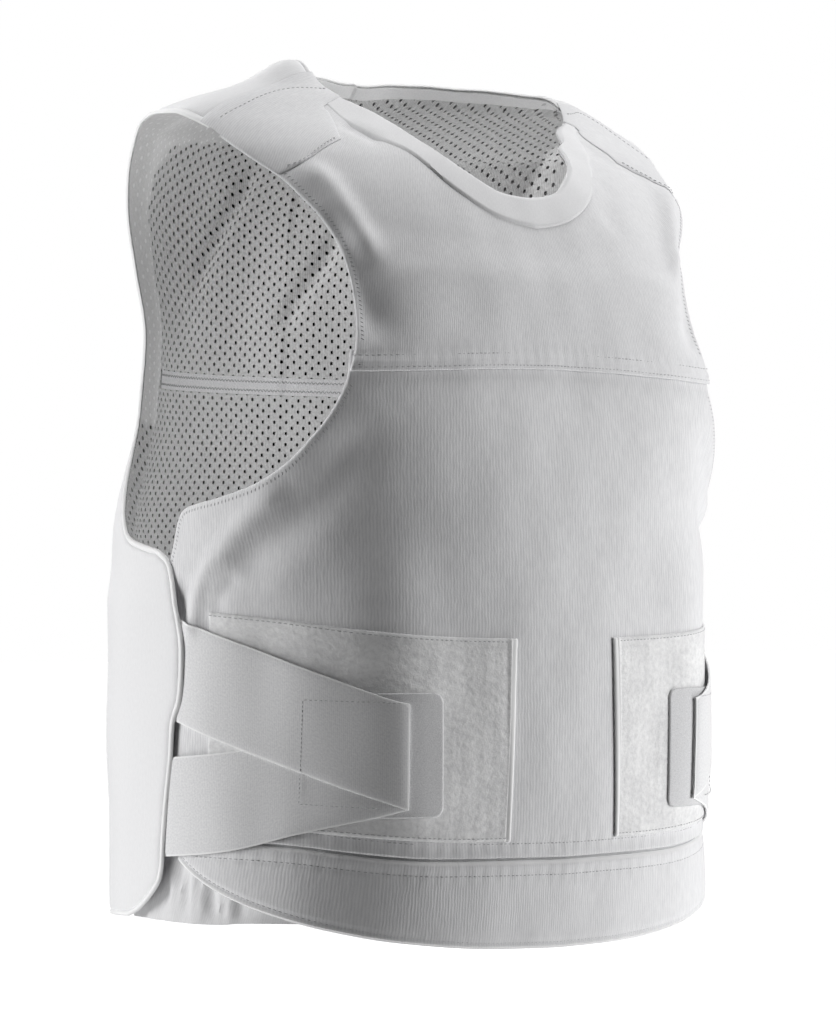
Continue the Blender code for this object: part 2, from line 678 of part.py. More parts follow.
def build_fastenings(side, sign):
    """The loop patch, hook pad, two elastic straps and shoulder tab of one side."""
    own = np.array([-sign, 1])
    elastic = ("elastic_webbing", ELASTIC_WHITE)

    def strip(top, foot, rows):
        return cut_strip(curve_through(flat(top, 0.0), STRIP_STEP) * own,
                         curve_through(flat(foot, 0.0), STRIP_STEP) * own, rows)

    def stand(table):
        return lambda b, r: front_rest(b, r) + smooth_rows(table, -np.abs(b))[..., 0] + ELASTIC

    sew(f"loop_patch_{side}", strip(PATCH_TOP, PATCH_BOTTOM, PATCH_ROWS),
        lambda b, r: front_rest(b, r) + SEAT_GAP + PATCH, PATCH, ("loop_pile", LOOP_WHITE))
    upper, lower = rounded_ends(PAD_BEARINGS, PAD_RISES, PAD_CORNER)
    sew(f"hook_pad_{side}", cut_strip(upper * own, lower * own, STRIP_ROWS),
        lambda b, r: front_rest(b, r) + PAD_STAND + PATCH, PATCH, ("hook_pad_cloth", LOOP_WHITE))
    sew(f"lower_strap_{side}", strip(LOWER_STRAP_TOP, LOWER_STRAP_BOTTOM, STRIP_ROWS),
        stand(LOWER_STRAP_STAND), ELASTIC, elastic)
    sew(f"upper_strap_{side}", strip(UPPER_STRAP_TOP, UPPER_STRAP_BOTTOM, STRIP_ROWS),
        stand(UPPER_STRAP_STAND), ELASTIC, elastic)
    tab = outline([TAB_REAR, [TAB_REAR[-1], TAB_ARM[0]], TAB_ARM, TAB_FRONT, TAB_INNER], TAB_STEP)
    sew(f"shoulder_tab_{side}", cut_panel(tab * own),
        lambda b, r: front_rest(b, r) + LAP_GAP + TAB, TAB, ("tab_cloth", COVER_WHITE))


def main():
    """Clears the file and builds every piece."""
    for old in list(bpy.data.objects):
        bpy.data.objects.remove(old, do_unlink=True)
    bpy.context.scene.collection.children.link(bpy.data.collections.new(COLLECTION))
    build_front()
    build_back()
    for side, sign in (("right", -1), ("left", 1)):
        build_fastenings(side, sign)


main()
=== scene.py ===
"""Looks of a concealable armour vest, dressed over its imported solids. Metres, +Z up, front at -Y.

All cloth is cut flat in a chart of the worn form and wrapped on it. A place on the chart is a
bearing, in degrees from the centre front towards the wearer's left, and a rise, in millimetres up
the cloth from the lowest hem. Sizes are in millimetres until a mesh is wrapped.
"""

from __future__ import annotations

import logging
import math
from collections.abc import Callable, Sequence
from dataclasses import dataclass, field
from enum import Enum

import bmesh
import bpy
import numpy as np
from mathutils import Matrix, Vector


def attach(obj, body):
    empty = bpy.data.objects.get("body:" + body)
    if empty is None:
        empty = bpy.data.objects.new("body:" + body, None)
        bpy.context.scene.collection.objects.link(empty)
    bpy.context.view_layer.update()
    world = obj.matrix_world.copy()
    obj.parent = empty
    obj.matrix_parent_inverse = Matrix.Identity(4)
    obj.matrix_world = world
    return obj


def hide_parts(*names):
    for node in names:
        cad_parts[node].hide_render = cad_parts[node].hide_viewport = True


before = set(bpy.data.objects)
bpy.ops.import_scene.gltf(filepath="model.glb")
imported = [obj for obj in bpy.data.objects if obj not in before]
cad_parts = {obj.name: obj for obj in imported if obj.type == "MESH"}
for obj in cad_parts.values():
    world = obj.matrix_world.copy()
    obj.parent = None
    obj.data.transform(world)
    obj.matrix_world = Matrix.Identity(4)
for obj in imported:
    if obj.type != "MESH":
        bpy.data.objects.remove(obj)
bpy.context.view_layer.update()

log = logging.getLogger("vest")

MM = 0.001
FULL_TURN = 2 * math.pi
BACK = 180.0
MIRROR = np.array([-1.0, 1.0])

Array = np.ndarray
Place = tuple[float, float]
Edge = Sequence[Place]
Face = Callable[[Array, Array], Array]


class Held(Enum):
    """How a cloth is held, in the words of the soft pieces' table."""

    DRAPED = "draped"
    GATHERED = "gathered"
    LAID = "laid"
    STRETCHED = "stretched"


class Side(Enum):
    """The wearer's sides, with the sign that brings the right side's chart over."""

    RIGHT = 1.0
    LEFT = -1.0

    @property
    def word(self) -> str:
        """The side's name in a piece's name."""
        return self.name.lower()

    @property
    def own(self) -> Array:
        """Turns chart places given for the right side into this side's."""
        return np.array([self.value, 1.0])


def step_between(value: Array, low: float, high: float) -> Array:
    """A smooth rise from 0 to 1.

    Args:
        value: Where it is wanted.
        low: The value below which it is 0.
        high: The value above which it is 1.

    Returns:
        The height of the step at each value.
    """
    s = np.clip((np.asarray(value, float) - low) / (high - low), 0, 1)
    return s * s * (3 - 2 * s)


def bell(away: Array, width: float) -> Array:
    """1 on a line, falling smoothly to 0 beside it."""
    return np.exp(-((away / width) ** 2))


def smooth_rows(rows: Sequence[Sequence[float]], at: Array) -> Array:
    """Values of a table on a curve that never overshoots its rows.

    Args:
        rows: The table, with its places in the first column.
        at: The places where values are wanted.

    Returns:
        The other columns' values at each place.
    """
    table = np.asarray(rows, float)
    place, value = table[:, 0], table[:, 1:]
    step = np.diff(place)
    slope = np.diff(value, axis=0) / step[:, None]
    tangent = np.zeros_like(value)
    tangent[0], tangent[-1] = slope[0], slope[-1]
    for i in range(1, len(place) - 1):
        before, after = slope[i - 1], slope[i]
        rising = before * after > 0
        near, far = 2 * step[i] + step[i - 1], step[i] + 2 * step[i - 1]
        safe_before, safe_after = np.where(rising, before, 1), np.where(rising, after, 1)
        tangent[i] = np.where(rising, (near + far) / (near / safe_before + far / safe_after), 0)
    at = np.clip(np.asarray(at, float), place[0], place[-1])
    k = np.clip(np.searchsorted(place, at, side="right") - 1, 0, len(step) - 1)
    s = ((at - place[k]) / step[k])[..., None]
    width = step[k][..., None]
    return (
        (2 * s**3 - 3 * s**2 + 1) * value[k]
        + (s**3 - 2 * s**2 + s) * width * tangent[k]
        + (3 * s**2 - 2 * s**3) * value[k + 1]
        + (s**3 - s**2) * width * tangent[k + 1]
    )


def turn(bearing: Array) -> Array:
    """Bearings brought between -180 and 180."""
    return (np.asarray(bearing, float) + 180.0) % 360.0 - 180.0


@dataclass
class WornForm:
    """The form that a worn vest takes: a rounded section at each level, and a crown above."""

    # height, front half width, back half width, front depth, back depth, front and back power
    sections: tuple[tuple[float, ...], ...] = (
        (-20, 173, 169, 127, 137, 2.45, 2.3),
        (0, 173, 169, 128, 138, 2.45, 2.3),
        (60, 173, 170, 132, 139, 2.32, 2.3),
        (130, 171, 169, 134, 139, 2.3, 2.4),
        (220, 170, 168, 132, 139, 2.4, 2.4),
        (289, 178, 157, 127, 137, 2.9, 2.2),
        (330, 184, 155, 121, 135, 2.65, 2.2),
        (371, 184, 164, 114, 132, 2.35, 2.2),
        (404, 182, 173, 101, 128, 2.2, 2.2),
        (424, 179, 175, 87, 123, 2.1, 2.2),
        (439, 174, 173, 66, 117, 2.1, 2.2),
        (450, 166, 167, 47, 110, 2.1, 2.3),
        (460, 143, 143, 34, 98, 2.2, 2.6),
        (468, 115, 115, 23, 85, 2.2, 3.0),
        (476, 84, 84, 13, 68, 2.2, 3.0),
        (484, 55, 55, 6, 50, 2.2, 2.6),
        (492, 12, 12, 2, 12, 2.2, 2.2),
    )
    chest_level: float = 330.0
    crown_radius: float = 150.0
    shoulder_height: float = 478.0
    side_blend: float = 30.0
    reach: float = 400.0
    girth_level: float = 250.0
    level_step: float = 0.5
    halvings: int = 22
    # At the left shoulder the neck's edge lies lower: how far, and over which bearings and rises.
    neck_drop: float = 11.0
    neck_bearings: tuple[float, ...] = (34.0, 47.0, 82.0, 100.0)
    neck_rises: Place = (462.0, 484.0)

    def __post_init__(self) -> None:
        """Works out the sections at close levels, and the girth at each bearing."""
        self.low = self.sections[0][0]
        self.high = self.sections[-1][0]
        levels = np.arange(self.low, self.high + 2 * self.level_step, self.level_step)
        self.shape = smooth_rows(self.sections, levels)
        self.around = np.arange(-200.0, 561.0, 1.0)
        loop = self.at(self.around, np.full(self.around.shape, self.girth_level))
        run = np.linalg.norm(np.diff(loop, axis=0), axis=1).cumsum()
        run = np.concatenate([[0.0], run])
        self.run = run - np.interp(0.0, self.around, run)

    @property
    def scale(self) -> float:
        """Chart millimetres for each degree of bearing."""
        return math.radians(1) * self.crown_radius

    def inside(self, points: Array) -> Array:
        """Tells which points lie inside the form."""
        level = np.clip((points[..., 2] - self.low) / self.level_step, 0, len(self.shape) - 1.001)
        k = level.astype(int)
        s = (level - k)[..., None]
        columns = np.moveaxis(self.shape[k] * (1 - s) + self.shape[k + 1] * s, -1, 0)
        front_half, back_half, front_depth, back_depth, front_power, back_power = columns
        in_front = points[..., 1] < 0
        behind = step_between(points[..., 1], -self.side_blend, self.side_blend)
        half = front_half * (1 - behind) + back_half * behind
        depth = np.where(in_front, front_depth, back_depth)
        power = np.where(in_front, front_power, back_power)
        reach = (np.abs(points[..., 0]) / half) ** power + (np.abs(points[..., 1]) / depth) ** power
        return (reach < 1) & (points[..., 2] < self.high)

    def at(self, bearing: Array, rise: Array) -> Array:
        """Points of the form, found by halving along a ray.

        Args:
            bearing: Bearings, in degrees.
            rise: Rises, in millimetres.

        Returns:
            Points in millimetres above the lowest hem.
        """
        angle = np.radians(bearing)
        lift = np.maximum(rise - self.chest_level, 0) / self.crown_radius
        start = np.stack([0 * angle, 0 * angle, np.minimum(rise, self.chest_level)], -1)
        way = np.stack(
            [np.sin(angle) * np.cos(lift), -np.cos(angle) * np.cos(lift), np.sin(lift)], -1
        )
        low, high = np.zeros(angle.shape), np.full(angle.shape, self.reach)
        for _ in range(self.halvings):
            middle = (low + high) / 2
            within = self.inside(start + way * middle[..., None])
            low, high = np.where(within, middle, low), np.where(within, high, middle)
        return start + way * low[..., None]

    def drawn_down(self, bearing: Array, rise: Array) -> Array:
        """Rises, with those of the neck's edge at the left shoulder drawn down."""
        at = turn(bearing)
        start, full, fading, end = self.neck_bearings
        share = step_between(at, start, full) * (1 - step_between(at, fading, end))
        return rise - self.neck_drop * share * step_between(rise, *self.neck_rises)

    def wrap(self, bearing: Array, rise: Array, off: Array) -> Array:
        """Points off the form, along its normals.

        Args:
            bearing: Bearings, in degrees.
            rise: Rises, in millimetres.
            off: Distances off the form, in millimetres.

        Returns:
            Points in metres from the origin between the shoulders.
        """
        small = 1.0
        rise = self.drawn_down(bearing, rise)
        along = self.at(bearing + small, rise) - self.at(bearing - small, rise)
        up = self.at(bearing, rise + small) - self.at(bearing, rise - small)
        normal = np.cross(along, up)
        normal /= np.linalg.norm(normal, axis=-1)[..., None]
        points = self.at(bearing, rise) + normal * off[..., None]
        return (points - np.array([0, 0, self.shoulder_height])) * MM

    def girth(self, bearing: Array) -> Array:
        """Millimetres round the waist from the centre front, for bearings from -200 to 560."""
        return np.interp(bearing, self.around, self.run)


FORM = WornForm()


@dataclass
class LaidFlat:
    """The form's back laid flat: true distances up its middle, and out from it at each level."""

    step: float = 4.0
    turn_step: float = 2.0
    top: float = 520.0

    def __post_init__(self) -> None:
        """Measures the form's back on a grid of rises and of turns from its middle."""
        self.rises = np.arange(0.0, self.top + self.step, self.step)
        self.turns = np.arange(0.0, BACK, self.turn_step)
        rises, turns = np.meshgrid(self.rises, self.turns, indexing="ij")
        points = FORM.at(BACK + turns, rises)
        self.out = np.zeros(rises.shape)
        self.out[:, 1:] = np.linalg.norm(np.diff(points, axis=1), axis=-1).cumsum(axis=1)
        self.up = np.zeros(len(self.rises))
        self.up[1:] = np.linalg.norm(np.diff(points[:, 0], axis=0), axis=-1).cumsum()

    def reach(self, places: Array) -> Array:
        """How far out from the middle chart places lie."""
        rows = (places[:, 1] / self.step).astype(int)
        off = np.abs(places[:, 0]) / FORM.scale
        return np.array([np.interp(away, self.turns, self.out[row]) for away, row in zip(off, rows)])

    def charted(self, flat: Array) -> Array:
        """Chart places of points that are laid out by their true distances."""
        rise = np.interp(flat[:, 1], self.up, self.rises)
        level = np.clip(rise / self.step, 0, len(self.rises) - 1.001)
        rows = level.astype(int)
        turned = np.zeros(len(flat))
        for row in np.unique(rows):
            here = rows == row
            share = level[here] - row
            out = np.abs(flat[here, 0])
            low, high = (np.interp(out, self.out[at], self.turns) for at in (row, row + 1))
            turned[here] = low * (1 - share) + high * share
        return np.stack([np.sign(flat[:, 0]) * turned * FORM.scale, rise], 1)


@dataclass(frozen=True)
class Fold:
    """A ridge or a hollow in the cloth, along a smooth curve, highest between its ends.

    One on both sides is given for the wearer's right, with bearings below zero. One that is on a
    single side has bearings from 0 to 360.
    """

    line: tuple[Place, ...]
    width: float
    height: float
    fade: float = 0.25
    both: bool = True

    def at(self, bearing: Array, rise: Array) -> Array:
        """The fold's height at each place."""
        side = -np.abs(turn(bearing)) if self.both else np.mod(bearing, 360.0)
        places = np.stack([side * FORM.scale, rise], -1)
        line = curve_through(np.array(self.line) * [FORM.scale, 1.0], 6.0)
        near, share = nearest(places, line)
        ends = step_between(share, 0.0, self.fade) * (1 - step_between(share, 1 - self.fade, 1.0))
        return self.height * ends * bell(near, self.width)


@dataclass(frozen=True)
class Ripple:
    """A long low wave across the cloth, as soft cloth has everywhere."""

    length: float
    direction: float
    phase: float
    height: float

    def at(self, bearing: Array, rise: Array) -> Array:
        """The wave's height at each place."""
        angle = math.radians(self.direction)
        across = turn(bearing) * FORM.scale * math.cos(angle) + rise * math.sin(angle)
        return self.height * np.sin(across * FULL_TURN / self.length + self.phase)


@dataclass(frozen=True)
class Welt:
    """A ridge along a sewn edge, or a hollow where its height is below zero."""

    at: float
    height: float
    width: float
    # With a pitch it rises and falls along the edge, as puckers do.
    pitch: float = 0.0

    def stand(self, bearing: Array, away: Array) -> Array:
        """How high it stands, from how far each place is from the sewn edge."""
        wave = np.sin(bearing * FORM.scale * FULL_TURN / self.pitch) if self.pitch else 1.0
        return self.height * wave * bell(away - self.at, self.width)


def raised(welts: Sequence[Welt], bearing: Array, away: Array) -> Array:
    """The height of all the welts of a sewn edge."""
    return sum(welt.stand(bearing, away) for welt in welts)


def rise_of(edge: Edge, bearing: Array) -> Array:
    """The rise, at each bearing, of an edge that is the same on both sides."""
    return smooth_rows(sorted((abs(b), r) for b, r in edge), np.abs(turn(bearing)))[..., 0]


def to_chart(edge: Edge, centre: float = 0.0) -> Array:
    """Chart millimetres of an edge's places, measured from the centre bearing."""
    rows = np.asarray(edge, float)
    return np.stack([turn(rows[:, 0] - centre) * FORM.scale, rows[:, 1]], 1)


def curve_through(points: Array, step: float) -> Array:
    """Points along a smooth curve.

    Args:
        points: The places that it passes through, its ends first and last.
        step: About how far apart the points are.

    Returns:
        The points, ends kept.
    """
    p = np.array([points[0], *points, points[-1]], float)
    s = (np.arange(16) / 16)[:, None]
    fine = [
        0.5 * (
            2 * p[i] + (p[i + 1] - p[i - 1]) * s
            + (2 * p[i - 1] - 5 * p[i] + 4 * p[i + 1] - p[i + 2]) * s**2
            + (3 * p[i] - p[i - 1] - 3 * p[i + 1] + p[i + 2]) * s**3
        )
        for i in range(1, len(p) - 2)
    ]
    fine = np.concatenate([*fine, p[-1:]])
    length = np.linalg.norm(np.diff(fine, axis=0), axis=1).sum()
    return resampled(fine, max(1, round(length / step)))


def resampled(points: Array, count: int) -> Array:
    """The same curve in a number of equal steps."""
    run = np.concatenate([[0], np.cumsum(np.linalg.norm(np.diff(points, axis=0), axis=1))])
    at = np.linspace(0, run[-1], count + 1)
    return np.stack([np.interp(at, run, points[:, k]) for k in range(2)], 1)


def beside(points: Array, distance: float) -> Array:
    """An open curve moved sideways, to the left of its way."""
    way = np.gradient(points, axis=0)
    way /= np.linalg.norm(way, axis=1)[:, None]
    return points + np.stack([-way[:, 1], way[:, 0]], 1) * distance


def across(edge: Edge, step: float, centre: float = 0.0) -> Array:
    """An open edge from its end on the wearer's right, over the centre line, to its mirror image."""
    right = curve_through(to_chart(edge, centre), step)
    return np.concatenate([right, right[-2::-1] * MIRROR])


def outline(runs: Sequence[Edge], step: float, centre: float = 0.0) -> Array:
    """A closed outline through runs of places: each run is a smooth curve, with corners between."""
    return np.concatenate([curve_through(to_chart(run, centre), step)[:-1] for run in runs])


def both_sides(runs: Sequence[Edge], step: float, centre: float = 0.0) -> Array:
    """A closed outline from its right half, from the top of the centre line to its foot."""
    half = [curve_through(to_chart(run, centre), step)[:-1] for run in runs]
    half = np.concatenate([*half, to_chart(runs[-1], centre)[-1:]])
    return np.concatenate([half, half[-2:0:-1] * MIRROR])


def lowered(edge: Edge, drop: float) -> list[Place]:
    """An edge moved down the cloth."""
    return [(bearing, rise - drop) for bearing, rise in edge]


def area_of(border: Array) -> float:
    """The area inside a closed outline, below zero where it runs clockwise."""
    x, y = border[:, 0], border[:, 1]
    return 0.5 * float(np.sum(x * np.roll(y, -1) - np.roll(x, -1) * y))


def nearest(places: Array, line: Array) -> tuple[Array, Array]:
    """How far places are from an open line.

    Args:
        places: Chart places.
        line: The line's points.

    Returns:
        Each place's distance from the line, and the share of the line's length where it is nearest.
    """
    run = np.concatenate([[0], np.cumsum(np.linalg.norm(np.diff(line, axis=0), axis=1))])
    best = np.full(places.shape[:-1], np.inf)
    share = np.zeros(places.shape[:-1])
    for i, (a, b) in enumerate(zip(line[:-1], line[1:])):
        way = b - a
        s = np.clip(((places - a) @ way) / (way @ way), 0, 1)
        far = np.linalg.norm(places - a - s[..., None] * way, axis=-1)
        closer = far < best
        best = np.where(closer, far, best)
        share = np.where(closer, (run[i] + s * (run[i + 1] - run[i])) / run[-1], share)
    return best, share


def within(places: Array, border: Array) -> Array:
    """Tells which places lie inside a closed outline."""
    odd = np.zeros(len(places), bool)
    for a, b in zip(border, np.roll(border, -1, axis=0)):
        crossed = (a[1] > places[:, 1]) != (b[1] > places[:, 1])
        rise = np.where(crossed, b[1] - a[1], 1.0)
        at = a[0] + (places[:, 1] - a[1]) * (b[0] - a[0]) / rise
        odd ^= crossed & (places[:, 0] < at)
    return odd


def flat_face(border: Array) -> tuple[bmesh.types.BMesh, bmesh.types.BMFace]:
    """One flat face that fills a closed outline, turned outwards."""
    if area_of(border) < 0:
        border = border[::-1]
    bm = bmesh.new()
    face = bm.faces.new([bm.verts.new((x, y, 0)) for x, y in border])
    bm.normal_update()
    return bm, face


def cut_panel(border: Array, spacing: float, rings: Sequence[float] = ()) -> bmesh.types.BMesh:
    """A flat panel cut to an outline.

    Args:
        border: The outline.
        spacing: The spacing of the grid lines that run across it.
        rings: The widths of the rings that follow its edge, from the edge inwards.

    Returns:
        The panel, in chart millimetres.
    """
    bm, face = flat_face(border)
    for ring in rings:
        bmesh.ops.inset_region(bm, faces=[face], thickness=ring, use_even_offset=True, use_boundary=True)
    low, high = border.min(axis=0), border.max(axis=0)
    for axis, normal in enumerate(((1, 0, 0), (0, 1, 0))):
        first, last = (int(end[axis] / spacing) for end in (low, high))
        for k in range(first - 1, last + 2):
            whole = bm.verts[:] + bm.edges[:] + bm.faces[:]
            at = [spacing * k * n for n in normal]
            bmesh.ops.bisect_plane(bm, geom=whole, plane_co=at, plane_no=normal, dist=0.02)
    return bm


def cut_strip(top: Array, foot: Array, spacing: float, rows: int) -> bmesh.types.BMesh:
    """A flat strip between two open edges that run the same way, with its own lengthwise UV map.

    Args:
        top: The upper edge.
        foot: The lower edge.
        spacing: The spacing of the lines across it.
        rows: How many rows it has between its edges.

    Returns:
        The strip, in chart millimetres.
    """
    run = np.linalg.norm(np.diff(top, axis=0), axis=1).sum()
    columns = max(2, round(run / spacing))
    top, foot = resampled(top, columns), resampled(foot, columns)
    wide = np.linalg.norm(top - foot, axis=1).mean()
    bm = bmesh.new()
    bmesh.ops.create_grid(bm, x_segments=columns, y_segments=rows, size=1)
    grain = bm.loops.layers.uv.new("grain")
    for face in bm.faces:
        for loop in face.loops:
            along, up = (loop.vert.co.x + 1) / 2, (loop.vert.co.y + 1) / 2
            loop[grain].uv = (along * run * MM, up * wide * MM)
    for vert in bm.verts:
        column, up = round((vert.co.x + 1) / 2 * columns), (vert.co.y + 1) / 2
        vert.co = (*(foot[column] * (1 - up) + top[column] * up), 0)
    if top[-1][0] < top[0][0]:
        bmesh.ops.reverse_faces(bm, faces=bm.faces[:])
    return bm


def drawn_in(border: Array, amount: float) -> Array:
    """A closed outline drawn in by an amount.

    Args:
        border: The outline.
        amount: How far it is drawn in, in millimetres.

    Returns:
        The smaller outline.
    """
    bm, face = flat_face(border)
    bmesh.ops.inset_region(bm, faces=[face], thickness=amount, use_even_offset=True, use_boundary=True)
    inner = np.array([corner.co[:2] for corner in face.verts])
    bm.free()
    return inner


def rim_distance(places: Array, border: Array) -> Array:
    """How far each place is from a closed outline."""
    return nearest(places, np.concatenate([border, border[:1]]))[0]


@dataclass
class Cut:
    """A flat piece of cloth and how it is laid on the form."""

    name: str
    mesh: bmesh.types.BMesh
    face: Face
    thickness: float
    finish: bpy.types.Material
    centre: float = 0.0
    border: Array | None = None
    turned: float = 1.0
    turn_depth: float | None = None
    cord: float = 0.0
    groove: Place = (0.6, 0.8)
    thin_rim: float = 0.0
    thinnest: float = 0.25
    soft_rim: float = 0.35

    def rim_drop(self, edge: Array) -> Array:
        """How far the face drops near the edge, where it is turned in, and beside a corded edge."""
        into = np.clip(1 - edge / self.turned, 0, 1)
        depth = self.turned if self.turn_depth is None else self.turn_depth
        drop = depth * (1 - np.sqrt(1 - into**2))
        if self.cord:
            width, deep = self.groove
            drop = drop + deep * bell(edge - self.cord, width)
        return drop

    def sew(self) -> bpy.types.Object:
        """Wraps the cut on the form and gives it its wall.

        Returns:
            The finished piece, its place in its mesh.
        """
        bm = self.mesh
        places = np.array([v.co[:2] for v in bm.verts])
        bearing = places[:, 0] / FORM.scale + self.centre
        off = self.face(bearing, places[:, 1])
        if self.border is not None:
            edge = rim_distance(places, self.border)
            off = off - self.rim_drop(edge)
            layer = bm.verts.layers.float.new("rim")
            for vert, far in zip(bm.verts, edge):
                vert[layer] = float(far) * MM
        if not bm.loops.layers.uv:
            grain = bm.loops.layers.uv.new("grain")
            around = FORM.girth(bearing)
            bm.verts.index_update()
            for face in bm.faces:
                for loop in face.loops:
                    i = loop.vert.index
                    loop[grain].uv = (around[i] * MM, places[i, 1] * MM)
        for vert, point in zip(bm.verts, FORM.wrap(bearing, places[:, 1], off)):
            vert.co = point
        piece = finished(self.name, bm, self.finish)
        wall = piece.modifiers.new("wall", "SOLIDIFY")
        wall.thickness = self.thickness * MM
        wall.offset = -1.0
        wall.use_even_offset = False
        if self.thin_rim:
            thick = piece.vertex_groups.new(name="thick")
            for i, far in enumerate(edge):
                thick.add([i], min(float(far) / self.thin_rim, 1.0), "REPLACE")
            wall.vertex_group = thick.name
            wall.thickness_vertex_group = self.thinnest
        if self.soft_rim:
            round_rim(piece, self.thickness * self.soft_rim)
        return piece


def finished(name: str, bm: bmesh.types.BMesh, finish: bpy.types.Material) -> bpy.types.Object:
    """Makes an object of a bmesh, smooth and dressed, which rides on the vest."""
    mesh = bpy.data.meshes.new(name)
    bm.to_mesh(mesh)
    bm.free()
    mesh.materials.append(finish)
    mesh.shade_smooth()
    piece = bpy.data.objects.new(name, mesh)
    bpy.context.scene.collection.objects.link(piece)
    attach(piece, "root")
    return piece


def round_rim(piece: bpy.types.Object, width: float) -> None:
    """Rounds a wall's cut edges by a width in millimetres."""
    rim = piece.modifiers.new("rim", "BEVEL")
    rim.width = width * MM
    rim.segments = 2
    rim.limit_method = "ANGLE"
    rim.angle_limit = math.radians(50)
    rim.harden_normals = True


def declare(
    piece: bpy.types.Object, nodes: Sequence[str],
    trims: Sequence[bpy.types.Object] = (),
) -> None:
    """Hides the solids that a finished piece stands for, and logs its triangles.

    Args:
        piece: The finished piece.
        nodes: The solids that it stands for.
        trims: The separate pieces sewn on it; not used.
    """
    if nodes:
        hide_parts(*nodes)
    count = sum(len(p.vertices) - 2 for p in piece.data.polygons)
    log.info("%s: %d triangles before its modifiers", piece.name, count)


def linear(colour: str) -> tuple[float, float, float, float]:
    """Turns an sRGB hex colour linear."""
    parts = [int(colour[i:i + 2], 16) / 255 for i in (1, 3, 5)]
    return (*((c / 12.92 if c <= 0.04045 else ((c + 0.055) / 1.055) ** 2.4) for c in parts), 1.0)


def add(tree: bpy.types.NodeTree, kind: str, inputs: dict | None = None, **settings) -> bpy.types.Node:
    """Adds a node.

    Args:
        tree: The material's node tree.
        kind: The node's type, without its ShaderNode prefix.
        inputs: For each input's name or number, a value, a node whose first output it takes, or a
            pair of a node and an output's name.
        **settings: The node's own properties.

    Returns:
        The node.
    """
    made = tree.nodes.new("ShaderNode" + kind)
    for key, value in settings.items():
        setattr(made, key, value)
    for key, value in (inputs or {}).items():
        if isinstance(value, bpy.types.Node):
            tree.links.new(value.outputs[0], made.inputs[key])
        elif isinstance(value, tuple) and isinstance(value[0], bpy.types.Node):
            tree.links.new(value[0].outputs[value[1]], made.inputs[key])
        else:
            made.inputs[key].default_value = value
    return made


def blended(tree: bpy.types.NodeTree, share: object, low: object, high: object) -> bpy.types.Node:
    """A colour between two, whose third output is the colour.

    Args:
        tree: The material's node tree.
        share: What gives the share of the high colour.
        low: The colour at 0, or what gives it.
        high: The colour at 1, or what gives it.

    Returns:
        The mix node.
    """
    return add(tree, "Mix", {"Factor": share, 6: low, 7: high}, data_type="RGBA")


def waves(tree: bpy.types.NodeTree, source: tuple, pitch: float) -> bpy.types.Node:
    """A wave between 0 and 1 along a coordinate in metres, with a pitch in millimetres."""
    turns = add(tree, "Math", {0: source, 1: FULL_TURN / (pitch * MM)}, operation="MULTIPLY")
    swing = add(tree, "Math", {0: turns}, operation="SINE")
    return add(tree, "Math", {0: swing, 1: 0.5, 2: 0.5}, operation="MULTIPLY_ADD")


def cloth_shader(
    tree: bpy.types.NodeTree, colour: bpy.types.Node, height: bpy.types.Node, relief: float,
    roughness: float, sheen: float,
) -> None:
    """Joins a colour and a relief into a cloth's shader.

    Args:
        tree: The material's node tree.
        colour: The mix node that gives the colour.
        height: The node that gives the relief, from 0 to 1.
        relief: How high the relief is, in millimetres.
        roughness: The shader's roughness.
        sheen: How much light the fibre ends catch at a slant.
    """
    bump = add(tree, "Bump", {"Height": height, "Distance": relief * MM, "Strength": 1.0})
    shader = tree.nodes["Principled BSDF"]
    tree.links.new(colour.outputs[2], shader.inputs["Base Color"])
    tree.links.new(bump.outputs[0], shader.inputs["Normal"])
    shader.inputs["Roughness"].default_value = roughness
    shader.inputs["IOR"].default_value = 1.46
    shader.inputs["Specular IOR Level"].default_value = 0.25
    shader.inputs["Sheen Weight"].default_value = sheen
    shader.inputs["Sheen Roughness"].default_value = 0.45
    shader.inputs["Sheen Tint"].default_value = linear("#ffffff")


def new_material(name: str) -> bpy.types.Material:
    """A material with a node tree and its shader."""
    made = bpy.data.materials.new(name)
    made.use_nodes = True
    return made


def along_grain(name: str) -> tuple[bpy.types.Material, bpy.types.NodeTree, tuple, bpy.types.Node]:
    """Starts a material that follows the cloth's grain.

    Args:
        name: The material's name.

    Returns:
        The material, its tree, the grain's coordinates and the node that splits them.
    """
    made = new_material(name)
    grain = (add(made.node_tree, "UVMap", uv_map="grain"), "UV")
    return made, made.node_tree, grain, add(made.node_tree, "SeparateXYZ", {0: grain})


